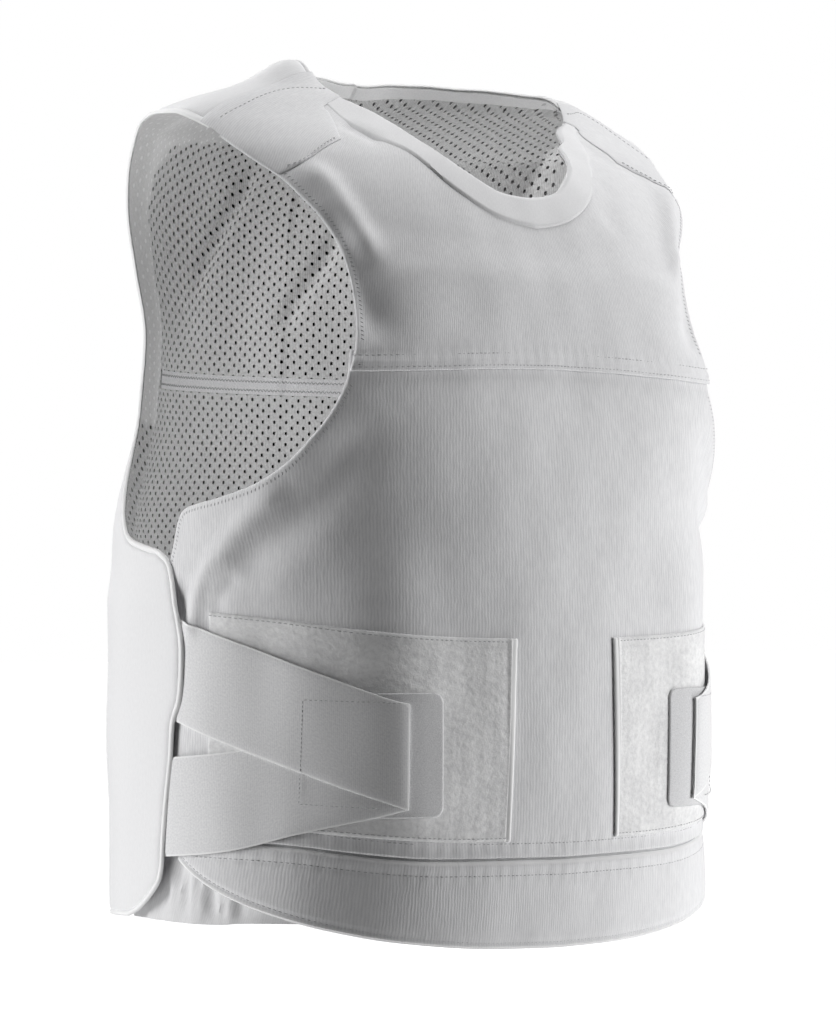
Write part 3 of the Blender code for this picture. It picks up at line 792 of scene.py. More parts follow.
@dataclass(frozen=True)
class RibbedCotton:
    """Cotton and polyester ribbed poplin, woven: matt, with fine upright ribs that catch the light."""

    name: str
    light: str
    dark: str
    rib: float
    run: float
    relief: float
    roughness: float = 0.92
    sheen: float = 0.18
    uneven: float = 0.5
    # The width of a painted highlight along the turned edge, in millimetres; none at 0.
    rim_highlight: float = 0.0

    def build(self) -> bpy.types.Material:
        """Makes the material, with a painted highlight along a turned edge."""
        made, tree, grain, axes = along_grain(self.name)
        slub = add(tree, "TexNoise", {"Vector": grain, "Scale": 1 / (7 * MM), "Detail": 3.0})
        sway = add(tree, "Math", {0: slub, 1: 1.1 * self.rib * MM, 2: (axes, "X")}, operation="MULTIPLY_ADD")
        ribs = waves(tree, (sway, 0), self.rib)
        run = (1 / (self.rib * MM), 1 / (self.run * MM), 1.0)
        stretch = add(tree, "Mapping", {"Vector": grain, "Scale": run})
        yarns = add(tree, "TexNoise", {"Vector": stretch, "Scale": 1.0, "Detail": 3.0, "Roughness": 0.6})
        fuzz = add(tree, "TexNoise", {"Vector": grain, "Scale": 1 / (0.7 * MM), "Detail": 2.0})
        woven = add(tree, "Math", {0: ribs, 1: 0.3}, operation="MULTIPLY")
        woven = add(tree, "Math", {0: yarns, 1: 0.9, 2: woven}, operation="MULTIPLY_ADD")
        height = add(tree, "Math", {0: fuzz, 1: 0.35, 2: woven}, operation="MULTIPLY_ADD")
        shade = add(tree, "MapRange", {"Value": height, "From Min": 0.5, "From Max": 1.05})
        light = linear(self.light)
        colour = blended(tree, shade, linear(self.dark), light)
        mixed = blended(tree, self.uneven, light, (colour, 2))
        if self.rim_highlight:
            mixed = painted_rim_highlight(tree, mixed, self.rim_highlight)
        cloth_shader(tree, mixed, height, self.relief, self.roughness, self.sheen)
        return made


def painted_rim_highlight(tree: bpy.types.NodeTree, colour: bpy.types.Node, width: float) -> bpy.types.Node:
    """Paints a highlight along a piece's edge by lightening its colour there.

    Args:
        tree: The material's node tree.
        colour: The mix node that gives the colour.
        width: How wide the painted highlight is, in millimetres.

    Returns:
        The mix node that gives the new colour.
    """
    rim = add(tree, "Attribute", attribute_name="rim")
    near = add(
        tree, "MapRange",
        {
            "Value": (rim, "Fac"), "From Min": 0.5 * width * MM, "From Max": width * MM,
            "To Min": 0.8, "To Max": 0.0,
        },
    )
    return blended(tree, near, (colour, 2), linear("#fafafa"))


@dataclass(frozen=True)
class LoopPile:
    """Nylon loop pile, knitted and napped: a matt fleece of curled loops in soft clumps."""

    name: str = "napped_nylon_loop_pile"
    light: str = "#f6f6f6"
    dark: str = "#dadadb"
    clump: float = 2.8
    loop: float = 0.9
    selvage: float = 3.6

    def build(self) -> bpy.types.Material:
        """Makes the material, with a smooth woven selvage at the start of the strip."""
        made, tree, grain, axes = along_grain(self.name)
        clumps = add(
            tree, "TexNoise",
            {"Vector": grain, "Scale": 1 / (self.clump * MM), "Detail": 3.0, "Roughness": 0.6},
        )
        loops = add(tree, "TexVoronoi", {"Vector": grain, "Scale": 1 / (self.loop * MM)})
        worn = add(tree, "TexNoise", {"Vector": grain, "Scale": 1 / (17 * MM), "Detail": 3.0})
        mottle = add(tree, "Math", {0: loops, 1: -0.16, 2: clumps}, operation="MULTIPLY_ADD")
        mottle = add(tree, "Math", {0: worn, 1: 0.8, 2: mottle}, operation="MULTIPLY_ADD")
        shade = add(tree, "MapRange", {"Value": mottle, "From Min": 0.5, "From Max": 1.1})
        light = linear(self.light)
        pile = blended(tree, shade, linear(self.dark), light)
        napped = add(
            tree, "MapRange",
            {"Value": (axes, "X"), "From Min": self.selvage * MM, "From Max": (self.selvage + 0.8) * MM},
        )
        colour = blended(tree, napped, light, (pile, 2))
        height = add(tree, "Math", {0: mottle, 1: napped}, operation="MULTIPLY")
        cloth_shader(tree, colour, height, 0.28, 0.98, 0.45)
        return made


@dataclass(frozen=True)
class ElasticWebbing:
    """Woven elastic webbing: matt, with close ribs across it that the rubber threads draw up."""

    name: str = "woven_elastic_webbing"
    light: str = "#f0f0f0"
    dark: str = "#d6d6d8"
    rib: float = 1.0
    selvage: float = 1.3

    def build(self) -> bpy.types.Material:
        """Makes the material, with a painted highlight along its selvages."""
        made, tree, grain, axes = along_grain(self.name)
        ribs = waves(tree, (axes, "X"), self.rib)
        fuzz = add(tree, "TexNoise", {"Vector": grain, "Scale": 1 / (1.1 * MM), "Detail": 3.0})
        height = add(tree, "Math", {0: ribs, 1: 0.15}, operation="MULTIPLY")
        height = add(tree, "Math", {0: fuzz, 1: 0.8, 2: height}, operation="MULTIPLY_ADD")
        shade = add(tree, "MapRange", {"Value": height, "From Min": 0.25, "From Max": 0.75})
        colour = blended(tree, shade, linear(self.dark), linear(self.light))
        edged = painted_rim_highlight(tree, colour, self.selvage)
        cloth_shader(tree, edged, height, 0.05, 0.88, 0.15)
        return made


@dataclass(frozen=True)
class KnittedMesh:
    """Warp-knitted polyester mesh lining: soft and slightly bright, with a fine knit between holes."""

    name: str = "knitted_polyester_mesh"
    light: str = "#e6e6e6"
    dark: str = "#bcbcbc"
    stitch: float = 1.1
    dot: str = "#161616"
    # How far the mesh is lightened towards white where white cloth lies behind: partly that white, partly
    # painted light.
    pale: float = 0.0
    dot_pitch: Place = (8.8, 6.5)
    dot_half: Place = (0.85, 1.0)
    plain_rim: float = 2.4

    def build(self) -> bpy.types.Material:
        """Makes the material, with a dot for each hole that isn't cut through."""
        made, tree, grain, axes = along_grain(self.name)
        wales = waves(tree, (axes, "X"), self.stitch)
        fuzz = add(tree, "TexNoise", {"Vector": grain, "Scale": 1 / (1.6 * MM), "Detail": 4.0})
        height = add(tree, "Math", {0: wales, 1: 0.3, 2: fuzz}, operation="MULTIPLY_ADD")
        shade = add(tree, "MapRange", {"Value": height, "From Min": 0.35, "From Max": 0.95})
        colour = blended(tree, shade, linear(self.dark), linear(self.light))
        # Lightens the mesh towards white where white cloth lies behind it: partly that white, partly painted
        # light coming through the cloth.
        if self.pale:
            behind = add(tree, "Attribute", attribute_name="over_white")
            share = add(tree, "Math", {0: (behind, "Fac"), 1: self.pale}, operation="MULTIPLY")
            colour = blended(tree, share, (colour, 2), linear("#fafafa"))
        colour = blended(tree, self.dots(tree, axes), (colour, 2), linear(self.dot))
        cloth_shader(tree, colour, height, 0.12, 0.85, 0.25)
        return made

    def dots(self, tree: bpy.types.NodeTree, axes: bpy.types.Node) -> bpy.types.Node:
        """A mask of ovals on the mesh's staggered lattice, away from the sewn edge.

        Args:
            tree: The material's node tree.
            axes: The node that gives the two coordinates.

        Returns:
            A node that is 1 in a hole and 0 between holes.
        """
        masks = []
        for shift in (0.0, 0.5):
            parts = []
            for axis, pitch, half in zip("XY", self.dot_pitch, self.dot_half):
                place = {0: (axes, axis), 1: 1 / (pitch * MM), 2: shift}
                turns = add(tree, "Math", place, operation="MULTIPLY_ADD")
                share = add(tree, "Math", {0: turns, 1: 1.0}, operation="FLOORED_MODULO")
                away = add(tree, "Math", {0: share, 1: -0.5}, operation="ADD")
                scaled = add(tree, "Math", {0: away, 1: pitch / half}, operation="MULTIPLY")
                parts.append(add(tree, "Math", {0: scaled, 1: 2.0}, operation="POWER"))
            sum_of = add(tree, "Math", {0: parts[0], 1: parts[1]}, operation="ADD")
            masks.append(add(tree, "Math", {0: sum_of, 1: 1.0}, operation="LESS_THAN"))
        ovals = add(tree, "Math", {0: masks[0], 1: masks[1]}, operation="MAXIMUM")
        rim = add(tree, "Attribute", attribute_name="rim")
        inner = add(tree, "Math", {0: (rim, "Fac"), 1: self.plain_rim * MM}, operation="GREATER_THAN")
        return add(tree, "Math", {0: ovals, 1: inner}, operation="MULTIPLY")


@dataclass(frozen=True)
class PlainCloth:
    """Plain woven tape, thread or coated nylon: one colour with a fine weave."""

    name: str
    light: str
    dark: str
    weave: float
    relief: float
    roughness: float
    sheen: float = 0.1

    def build(self) -> bpy.types.Material:
        """Makes the material, on the object's own coordinates."""
        made = new_material(self.name)
        tree = made.node_tree
        place = add(tree, "TexCoord")
        weave = add(
            tree, "TexNoise",
            {"Vector": (place, "Object"), "Scale": 1 / (self.weave * MM), "Detail": 3.0, "Roughness": 0.6},
        )
        shade = add(tree, "MapRange", {"Value": weave, "From Min": 0.3, "From Max": 0.7})
        colour = blended(tree, shade, linear(self.dark), linear(self.light))
        cloth_shader(tree, colour, weave, self.relief, self.roughness, self.sheen)
        return made


@dataclass
class Wardrobe:
    """Every finish on the vest, each made once."""

    def __post_init__(self) -> None:
        """Makes the materials."""
        self.front = RibbedCotton("ribbed_poplin_front", "#ebebec", "#bfbfc2", 1.9, 9.0, 0.09).build()
        self.yoke = RibbedCotton("ribbed_poplin_yoke", "#ebebec", "#c4c4c7", 1.3, 5.0, 0.1).build()
        # The back and the tail carry a painted highlight along their turned edges.
        self.back = RibbedCotton(
            "brushed_poplin_back", "#efeff0", "#dcdcde", 1.4, 3.0, 0.05, uneven=0.4, sheen=0.25, rim_highlight=3.0
        ).build()
        self.band = RibbedCotton("rib_knit_band", "#ececed", "#d2d2d4", 1.2, 3.0, 0.07, uneven=0.4).build()
        self.under = RibbedCotton("thin_poplin", "#e4e4e5", "#c6c6c8", 1.2, 4.0, 0.08, uneven=0.4).build()
        self.tail = RibbedCotton("ribbed_poplin_tail", "#ebebec", "#c4c4c7", 1.7, 8.0, 0.13, rim_highlight=2.6).build()
        self.pile = LoopPile().build()
        self.elastic = ElasticWebbing().build()
        # The back lining's dots stand for white cloth seen through holes that are not cut; its lightening
        # towards white is partly painted light.
        self.mesh = KnittedMesh(dot="#fdfdfd", pale=0.55).build()
        self.mesh_front = KnittedMesh(name="knitted_polyester_mesh_front", plain_rim=8.0).build()
        self.tape = PlainCloth("woven_polyester_tape", "#ececed", "#cfcfd1", 0.8, 0.08, 0.8).build()
        self.facing = PlainCloth("woven_cotton_facing", "#fdfdfd", "#f1f1f2", 0.8, 0.06, 0.8).build()
        self.pad = PlainCloth("woven_nylon_hook_backing", "#e2e2e3", "#c4c4c6", 0.6, 0.06, 0.75).build()
        # The thread is grey rather than white: painted shade of the stitch holes.
        self.thread = PlainCloth("spun_polyester_thread", "#c9c9cb", "#8f8f92", 0.4, 0.03, 0.7).build()
        self.armour = PlainCloth("coated_nylon_armour_cover", "#161617", "#0c0c0d", 0.6, 0.04, 0.5, 0.0).build()


FRONT_FOLDS = (
    # The soft ridge that runs in from the armhole over the chest, and the hollow below it.
    Fold(((-66, 412), (-58.5, 407), (-53.5, 394), (-49, 377), (-45.5, 360)), 7.0, 3.8),
    Fold(((-58, 391), (-54.5, 380), (-50.8, 366), (-47.5, 344), (-44, 318)), 8.0, -3.6),
    Fold(((-41, 372), (-37, 345), (-34, 316)), 17.0, 1.4),
    # The dent beside the neck band at the shoulder.
    Fold(((-62, 459), (-55, 455), (-47, 450)), 6.0, -1.8),
    # The pull from the armhole's foot to the side, and the hollow beside it.
    Fold(((-60, 247), (-68.8, 229), (-74, 214), (-79.5, 196)), 7.0, 3.6),
    Fold(((-44, 288), (-50, 262), (-56, 238), (-68, 209), (-77, 187)), 12.0, -4.6),
    Fold(((-76, 211), (-80.2, 194), (-81.6, 176), (-81.6, 160)), 3.6, 2.8),
    # The front's corner, where the cloth lies flat between it and the side.
    Fold(((-44, 235), (-43, 170), (-42, 110), (-41, 35)), 26.0, 5.5),
    Fold(((-67, 205), (-66, 150), (-65, 100), (-64, 40)), 22.0, -2.2),
    Fold(((-84, 200), (-85, 188), (-85.5, 172)), 3.0, -1.6),
    Fold(((-72, 200), (-75.5, 188), (-77, 176)), 4.0, -1.5),
)
FRONT_RIPPLES = (
    Ripple(128, 12, 0.4, 0.35),
    Ripple(83, 68, 1.9, 0.25),
    Ripple(47, -28, 3.1, 0.14),
    Ripple(31, 15, 5.0, 0.07),
)
BACK_FOLDS = (
    Fold(((-138, 320), (-144, 372), (-152, 430)), 22, -2.5),
    Fold(((-160, 300), (-165, 360), (-170, 420)), 22, -2.0),
)
# Folds that only the wearer's left shoulder has.
LEFT_FOLDS = (
    Fold(((53, 452), (56, 436), (59, 420)), 7.0, -1.6, both=False),
    Fold(((63, 446), (64.5, 425), (62, 403)), 6.0, 1.5, both=False),
    Fold(((40, 432), (33, 415), (27, 400)), 9.0, -0.8, both=False),
)
# Ridges of the back lining, towards the wearer.
LINING_FOLDS = (
    Fold(((196, 450), (199, 423.5), (204.8, 400.5), (211.3, 377), (216, 357)), 6.0, 3.8, both=False),
    Fold(((162, 414), (167, 395.7), (175.1, 368.6), (184, 338)), 6.0, 3.0, both=False),
    Fold(((204, 440), (208, 415), (215, 390)), 14.0, -1.2, both=False),
)
BACK_RIPPLES = (
    Ripple(150, 8, 1.1, 0.5),
    Ripple(90, 75, 0.3, 0.3),
    Ripple(52, -35, 2.2, 0.16),
)
# Rolls of cloth above zero and hollows below it at the shoulders: bearing, rise, radius, height.
SHOULDER_ROLLS = ((-88, 481, 18, 9.0), (84, 470, 24, 4.4), (76, 430, 36, -5.0), (63, 397, 18, 3.0))


def shoulder_roll(bearing: Array, rise: Array) -> Array:
    """The height of the rolls and hollows of cloth at the shoulders."""
    total = np.zeros(np.shape(bearing))
    for centre, at, radius, height in SHOULDER_ROLLS:
        away = np.hypot(turn(bearing - centre) * FORM.scale, rise - at)
        total += height * bell(away, radius)
    return total


def front_rest(bearing: Array, rise: Array) -> Array:
    """How far the front's cloth stands off the form."""
    shapes = (*FRONT_FOLDS, *LEFT_FOLDS, *FRONT_RIPPLES)
    return sum(shape.at(bearing, rise) for shape in shapes) + shoulder_roll(bearing, rise)


def back_rest(bearing: Array, rise: Array) -> Array:
    """How far the back's cloth stands off the form, without its wings."""
    shapes = (*BACK_FOLDS, *BACK_RIPPLES)
    return sum(shape.at(bearing, rise) for shape in shapes) + shoulder_roll(bearing, rise)


@dataclass
class StitchRow:
    """A row of stitches along a curve on the chart."""

    line: Array
    pitch: float = 2.9
    length: float = 2.1
    radius: float = 0.26
    slant: float = 0.0
    zigzag: float = 0.0

    def places(self) -> tuple[Array, Array]:
        """The middle and the half vector of each stitch, in chart millimetres."""
        run = np.linalg.norm(np.diff(self.line, axis=0), axis=1).sum()
        points = resampled(self.line, max(2, round(run / self.pitch)))
        middle = (points[:-1] + points[1:]) / 2
        way = np.diff(points, axis=0)
        way /= np.linalg.norm(way, axis=1)[:, None]
        angle = np.full(len(way), math.radians(self.slant))
        if self.zigzag:
            angle = math.radians(self.zigzag) * np.where(np.arange(len(way)) % 2, 1.0, -1.0)
        turned = np.stack(
            [way[:, 0] * np.cos(angle) - way[:, 1] * np.sin(angle),
             way[:, 0] * np.sin(angle) + way[:, 1] * np.cos(angle)], 1
        )
        return middle, turned * self.length / 2


@dataclass
class Stitching:
    """Rows of stitches on one cloth, joined into one piece."""

    name: str
    face: Face
    finish: bpy.types.Material
    centre: float = 0.0
    rows: list[StitchRow] = field(default_factory=list)

    def sew(self) -> bpy.types.Object:
        """Lays a small rounded stitch at each place of every row.

        Returns:
            The joined piece.
        """
        bead = bmesh.new()
        bmesh.ops.create_uvsphere(bead, u_segments=6, v_segments=4, radius=1.0)
        template = bpy.data.meshes.new("stitch")
        bead.to_mesh(template)
        shape = np.array([v.co[:] for v in bead.verts])
        bead.free()
        bm = bmesh.new()
        points = []
        for row in self.rows:
            middle, half = row.places()
            ends = [self.wrapped(middle + half * end) for end in (-1, 0, 1)]
            along = (ends[2] - ends[0]) / 2
            away = ends[1] - np.array([0, 0, FORM.chest_level - FORM.shoulder_height]) * MM
            side = np.cross(along, away)
            side /= np.linalg.norm(side, axis=1)[:, None]
            out = np.cross(side, along)
            out /= np.linalg.norm(out, axis=1)[:, None]
            size = row.radius * MM
            points.append(
                ends[1][:, None] + shape[None, :, 2:3] * along[:, None]
                + (shape[None, :, 0:1] * side[:, None] + shape[None, :, 1:2] * out[:, None]) * size
            )
        for _ in np.concatenate(points):
            bm.from_mesh(template)
        for vert, point in zip(bm.verts, np.concatenate(points).reshape(-1, 3)):
            vert.co = point
        bpy.data.meshes.remove(template)
        bmesh.ops.recalc_face_normals(bm, faces=bm.faces[:])
        piece = finished(self.name, bm, self.finish)
        declare(piece, ())
        return piece

    def wrapped(self, places: Array) -> Array:
        """Chart places brought onto the cloth's face."""
        bearing = places[:, 0] / FORM.scale + self.centre
        return FORM.wrap(bearing, places[:, 1], self.face(bearing, places[:, 1]))


# Edges on the wearer's right, as (bearing, rise).
NECKLINE = (
    (0, 426.5), (-12, 430), (-21, 440), (-30, 452.5), (-38, 465.5), (-46, 478),
    (-54, 485.5), (-62, 487.5), (-69, 485), (-78, 486),
)
BACK_NECKLINE = (
    (-80.6, 487), (-92, 491), (-101, 495), (-110, 500), (-130, 508), (-155, 513), (-180, 514),
)
FRONT_ARMHOLE = (
    (-78, 416), (-72.5, 410), (-65.6, 402.6), (-61.3, 395), (-57, 386), (-53.5, 375), (-50.8, 358),
    (-49.4, 340), (-49.1, 322), (-50.4, 301), (-53.3, 283), (-57, 269.5), (-61.5, 257), (-67.5, 247),
    (-75, 240.5), (-81.5, 237), (-85.5, 234), (-87.4, 227), (-88.6, 215), (-90.5, 200),
)
YOKE_EDGE = ((0, 310), (-17, 309.3), (-32, 307.7), (-45.3, 306.3), (-49.9, 306.2))
SLIT = (
    (0, 45.8), (-13, 46.3), (-32, 47.1), (-42, 48.8), (-52, 52), (-60, 54.8), (-69, 56.3), (-81, 57),
)
SHOULDER_END = (NECKLINE[-1], FRONT_ARMHOLE[0])
# The left shoulder draws the back armhole's corner forward: bearing, rise, width, height, how far.
LEFT_DRAW = (113.0, 416.0, 42.0, 32.0, 18.0)


def drawn_forward(points: Array) -> Array:
    """Places on the back's chart, with those near the left armhole's corner drawn forward."""
    bearing, rise, width, height, forward = LEFT_DRAW
    beside_it = (points[:, 0] - (bearing - BACK) * FORM.scale) / width
    above_it = (points[:, 1] - rise) / height
    return points - np.outer(forward * np.exp(-(beside_it**2) - above_it**2), (1.0, 0.0))


@dataclass
class FrontShell:
    """The front's outer cloth: lower panel, yoke over its top edge, and neck band."""

    wardrobe: Wardrobe
    cloth: float = 1.2
    band_cloth: float = 1.5
    band_stand: float = 1.0
    band_clear: float = 0.2
    band_sinks: Place = (54.0, 65.0)
    lap: float = 2.5
    lap_depth: float = 12.0
    lap_fade: Place = (362.0, 390.0)
    spacing: float = 2.6
    outline_step: float = 4.0
    edge_rings: tuple[float, ...] = (0.45, 0.85, 1.5, 1.5)
    turned: float = 1.3
    band_turned: float = 1.4
    seam_gap: float = 4.0
    side: Edge = ((-90.5, 200), (-94, 165), (-96, 120), (-96, 57))
    band_seam: Edge = (
        (0, 403.5), (-14, 409), (-26, 422), (-34, 436), (-42, 447.5), (-51, 453.5), (-60, 461),
        (-67.6, 468.5), (-73, 474), (-78, 478),
    )
    band_end: Place = (-78.0, 486.0)
    slit_lip: float = 0.8
    yoke_rows: Place = (2.0, 8.5)
    slit_row: float = 8.5
    slit_welts: tuple[Welt, ...] = (
        Welt(0, 0.9, 3.5), Welt(slit_row, -0.5, 1.6), Welt(slit_row, 0.18, 5.0, 9.5),
    )
    yoke_welts: tuple[Welt, ...] = (
        Welt(yoke_rows[0], -0.4, 1.3), Welt(yoke_rows[1], -0.4, 1.3),
        Welt(5.2, 0.35, 2.2), Welt(8.0, 0.16, 5.0, 8.5),
    )
    armhole_row: float = 2.9
    panel_overcast: Place = (0.0, 318.0)
    yoke_overcast: Place = (312.0, 403.0)
    panel_flat: Place = (500.0, 262.0)
    yoke_flat: Place = (375.0, 190.0)
    band_flat: Place = (300.0, 22.0)

    def panel_face(self, bearing: Array, rise: Array) -> Array:
        """The lower panel's outer face, with the row of stitches above the slit drawn in."""
        return front_rest(bearing, rise) + raised(self.slit_welts, bearing, rise - rise_of(SLIT, bearing))

    def yoke_face(self, bearing: Array, rise: Array) -> Array:
        """The yoke's outer face, which steps up over the panel and is drawn in at its stitches."""
        stand = self.lap * (1 - step_between(rise, *self.lap_fade))
        welts = raised(self.yoke_welts, bearing, rise - rise_of(YOKE_EDGE, bearing))
        return front_rest(bearing, rise) + stand + welts

    def band_face(self, bearing: Array, rise: Array) -> Array:
        """The neck band's outer face, proud of the yoke, which it meets under the shoulder tab."""
        stand = self.band_stand * (1 - step_between(np.abs(turn(bearing)), *self.band_sinks))
        return front_rest(bearing, rise) + self.band_clear + stand

    def build_panel(self) -> bpy.types.Object:
        """Cuts and sews the lower panel."""
        lip = lowered(SLIT, -self.slit_lip)
        foot = (self.side[-1][0], lip[-1][1])
        lap = lowered(YOKE_EDGE, -self.lap_depth)
        armhole = [row for row in FRONT_ARMHOLE if row[1] < lap[-1][1]]
        border = both_sides(
            [lap, [lap[-1], *armhole], [*self.side[:-1], foot], [foot, *reversed(lip)]],
            self.outline_step,
        )
        cut = cut_panel(border, self.spacing, self.edge_rings)
        return Cut(
            "front_panel_cloth", cut, self.panel_face, self.cloth, self.wardrobe.front,
            border=border, turned=self.turned,
        ).sew()

    def build_yoke(self) -> bpy.types.Object:
        """Cuts and sews the yoke."""
        armhole = [row for row in FRONT_ARMHOLE if row[1] > YOKE_EDGE[-1][1] + self.seam_gap]
        border = both_sides(
            [NECKLINE, SHOULDER_END, [*armhole, YOKE_EDGE[-1]], YOKE_EDGE[::-1]], self.outline_step
        )
        cut = cut_panel(border, self.spacing, self.edge_rings)
        return Cut(
            "front_yoke_cloth", cut, self.yoke_face, self.cloth, self.wardrobe.yoke,
            border=border, turned=self.turned,
        ).sew()

    def build_band(self) -> bpy.types.Object:
        """Cuts and sews the neck band."""
        neck = [*(row for row in NECKLINE if row[0] > self.band_end[0]), self.band_end]
        top, foot = (across(edge[::-1], self.spacing) for edge in (neck, list(self.band_seam)))
        cut = cut_strip(top, foot, self.spacing, 14)
        border = np.concatenate([top, foot[::-1]])
        return Cut(
            "neck_band_rib", cut, self.band_face, self.band_cloth, self.wardrobe.band,
            border=border, turned=self.band_turned,
        ).sew()

    def overcast(self, low: float, high: float) -> list[StitchRow]:
        """Slanting stitches beside both armholes, between two rises."""
        armhole = curve_through(to_chart([row for row in FRONT_ARMHOLE if low < row[1] < high]), 2.0)
        line = beside(armhole, self.armhole_row)
        return [StitchRow(line * side.own, pitch=2.3, length=1.9, slant=62) for side in Side]

    def stitch(self) -> bpy.types.Object:
        """Sews the panel's rows: overcast at the armholes and straight above the slit."""
        above = across(lowered(SLIT, -self.slit_row)[::-1], 2.0)
        rows = [StitchRow(above), *self.overcast(*self.panel_overcast)]
        return Stitching("front_panel_stitches", self.panel_face, self.wardrobe.thread, rows=rows).sew()

    def stitch_yoke(self) -> bpy.types.Object:
        """Sews the yoke's rows: two along its lower edge, and overcast at the armholes."""
        rows = [StitchRow(across(lowered(YOKE_EDGE, -at)[::-1], 2.0)) for at in self.yoke_rows]
        rows += self.overcast(*self.yoke_overcast)
        return Stitching("front_yoke_stitches", self.yoke_face, self.wardrobe.thread, rows=rows).sew()

    def build(self) -> None:
        """Builds the three cloths and their stitches."""
        declare(
            self.build_panel(), ["front_panel"],
            [self.stitch()],
        )
        declare(
            self.build_yoke(), ["front_yoke"],
            [self.stitch_yoke()],
        )
        declare(
            self.build_band(), ["neck_band"],
        )


@dataclass
class Tail:
    """The tail below the slit, and the thin cloth under it that is gathered at the sides."""

    wardrobe: Wardrobe
    cloth: float = 1.3
    under_cloth: float = 0.8
    stand: float = 1.6
    spacing: float = 2.6
    hem: Edge = (
        (0, -3), (-23, -1.3), (-41, 3.5), (-54, 10.3), (-63, 17), (-71, 24.4), (-79, 34), (-86, 46),
    )
    under_top: Edge = ((0, 55), (-60, 58), (-76, 55.5), (-100, 55))
    under_hem: Edge = ((0, 14), (-63, 14), (-78, 12), (-106, 11.5))
    hem_row: float = 3.6
    slit_row: float = 8.6
    slit_welts: tuple[Welt, ...] = (
        Welt(0, -0.7, 3.0), Welt(slit_row, -0.45, 1.5), Welt(8.0, 0.18, 5.0, 9.5),
    )
    hem_welts: tuple[Welt, ...] = (Welt(hem_row, -0.8, 1.3),)
    slit_half: float = 0.8
    gather_from: float = 66.0
    gather_full: float = 74.0
    gather_fade: Place = (62.0, 96.0)
    gather_pitch: float = 7.5
    gather_height: float = 1.2
    gather_sink: float = 0.8
    gather_hem: float = 6.0
    gather_left: float = 0.4
    fine_share: float = 0.5
    fine_pitch: float = 0.43
    # How far the gathers swing aside, and over which rise.
    swing: Place = (1.6, 17.0)
    small_swing: Place = (0.7, 7.0)
    turned: float = 1.6
    tail_flat: Place = (460.0, 52.0)
    under_flat: Place = (590.0, 46.0)

    def tail_face(self, bearing: Array, rise: Array) -> Array:
        """The tail's outer face, with its hem and the row below the slit drawn in."""
        welts = raised(self.slit_welts, bearing, rise_of(SLIT, bearing) - rise)
        hem = raised(self.hem_welts, bearing, rise - rise_of(self.hem, bearing))
        return front_rest(bearing, rise) + welts + hem

    def under_face(self, bearing: Array, rise: Array) -> Array:
        """The gathered cloth's outer face."""
        side = np.abs(turn(bearing))
        (far, slow), (near, quick) = self.swing, self.small_swing
        swing = far * np.sin(rise / slow) + near * np.sin(rise / quick + side)
        wave = np.sin((side - self.gather_from + swing) * FULL_TURN / self.gather_pitch)
        fine = self.fine_pitch * self.gather_pitch
        wave += self.fine_share * np.sin((side - swing) * FULL_TURN / fine + 1.0)
        where = step_between(side, self.gather_from, self.gather_full)
        where *= 1 - step_between(rise, *self.gather_fade)
        above = rise - rise_of(self.under_hem, bearing)
        where *= self.gather_left + (1 - self.gather_left) * step_between(above, 0.0, self.gather_hem)
        gathers = self.gather_height * (wave - self.gather_sink) * where
        return front_rest(bearing, rise) - self.cloth - self.stand + gathers

    def build_tail(self) -> bpy.types.Object:
        """Cuts and sews the tail."""
        end = (self.hem[-1][0], SLIT[-1][1] - self.slit_half)
        top = [*lowered([row for row in SLIT if row[0] > end[0]], self.slit_half), end]
        upper, lower = across(top[::-1], self.spacing), across(self.hem[::-1], self.spacing)
        cut = cut_strip(upper, lower, self.spacing, 30)
        border = np.concatenate([upper, lower[::-1]])
        return Cut(
            "front_tail_cloth", cut, self.tail_face, self.cloth, self.wardrobe.tail,
            border=border, turned=self.turned,
        ).sew()

    def build_under(self) -> bpy.types.Object:
        """Cuts and sews the cloth under the tail."""
        upper, lower = across(self.under_top[::-1], 2.0), across(self.under_hem[::-1], 2.0)
        return Cut(
            "under_tail_lining", cut_strip(upper, lower, 2.2, 18), self.under_face, self.under_cloth,
            self.wardrobe.under,
        ).sew()

    def stitch(self) -> bpy.types.Object:
        """Sews the rows below the slit and along the hem."""
        rows = [StitchRow(across(lowered(SLIT, self.slit_row)[::-1], 2.0))]
        hem = across(self.hem[::-1], 2.0)
        rows.append(StitchRow(beside(hem, self.hem_row)))
        return Stitching("tail_stitches", self.tail_face, self.wardrobe.thread, rows=rows).sew()

    def build(self) -> None:
        """Builds the tail, the cloth under it and their stitches."""
        declare(
            self.build_tail(), ["front_tail"],
            [self.stitch()],
        )
        declare(
            self.build_under(), ["under_tail_cloth"],
        )


@dataclass
class FrontPack:
    """The front's armour and its mesh lining, sewn up as one padded layer behind the cloth."""

    wardrobe: Wardrobe
    depth: float = 3.3
    thickness: float = 4.4
    inset: float = 2.5
    spacing: float = 5.0
    outline_step: float = 6.0
    side: Edge = ((-90.5, 200), (-93, 165), (-91, 120), (-87, 66))
    fill: float = 0.4
    sewn: float = 12.0
    lift: float = 1.5

    def face(self, bearing: Array, rise: Array) -> Array:
        """The pack's outer face, before its sewn edge is drawn up to the cloth."""
        return front_rest(bearing, rise) - self.depth

    def build(self) -> None:
        """Builds the pack."""
        foot = [self.side[-1], (0, self.side[-1][1])]
        border = both_sides([NECKLINE, SHOULDER_END, FRONT_ARMHOLE, self.side, foot], self.outline_step)
        inner = drawn_in(border, self.inset)
        piece = Cut(
            "front_inner_panel_pack", cut_panel(inner, self.spacing), self.face, self.thickness,
            self.wardrobe.mesh_front, border=inner, turned=self.sewn, turn_depth=-self.lift,
            thin_rim=self.sewn, soft_rim=0.1,
        ).sew()
        declare(piece, ["front_inner_panel"])


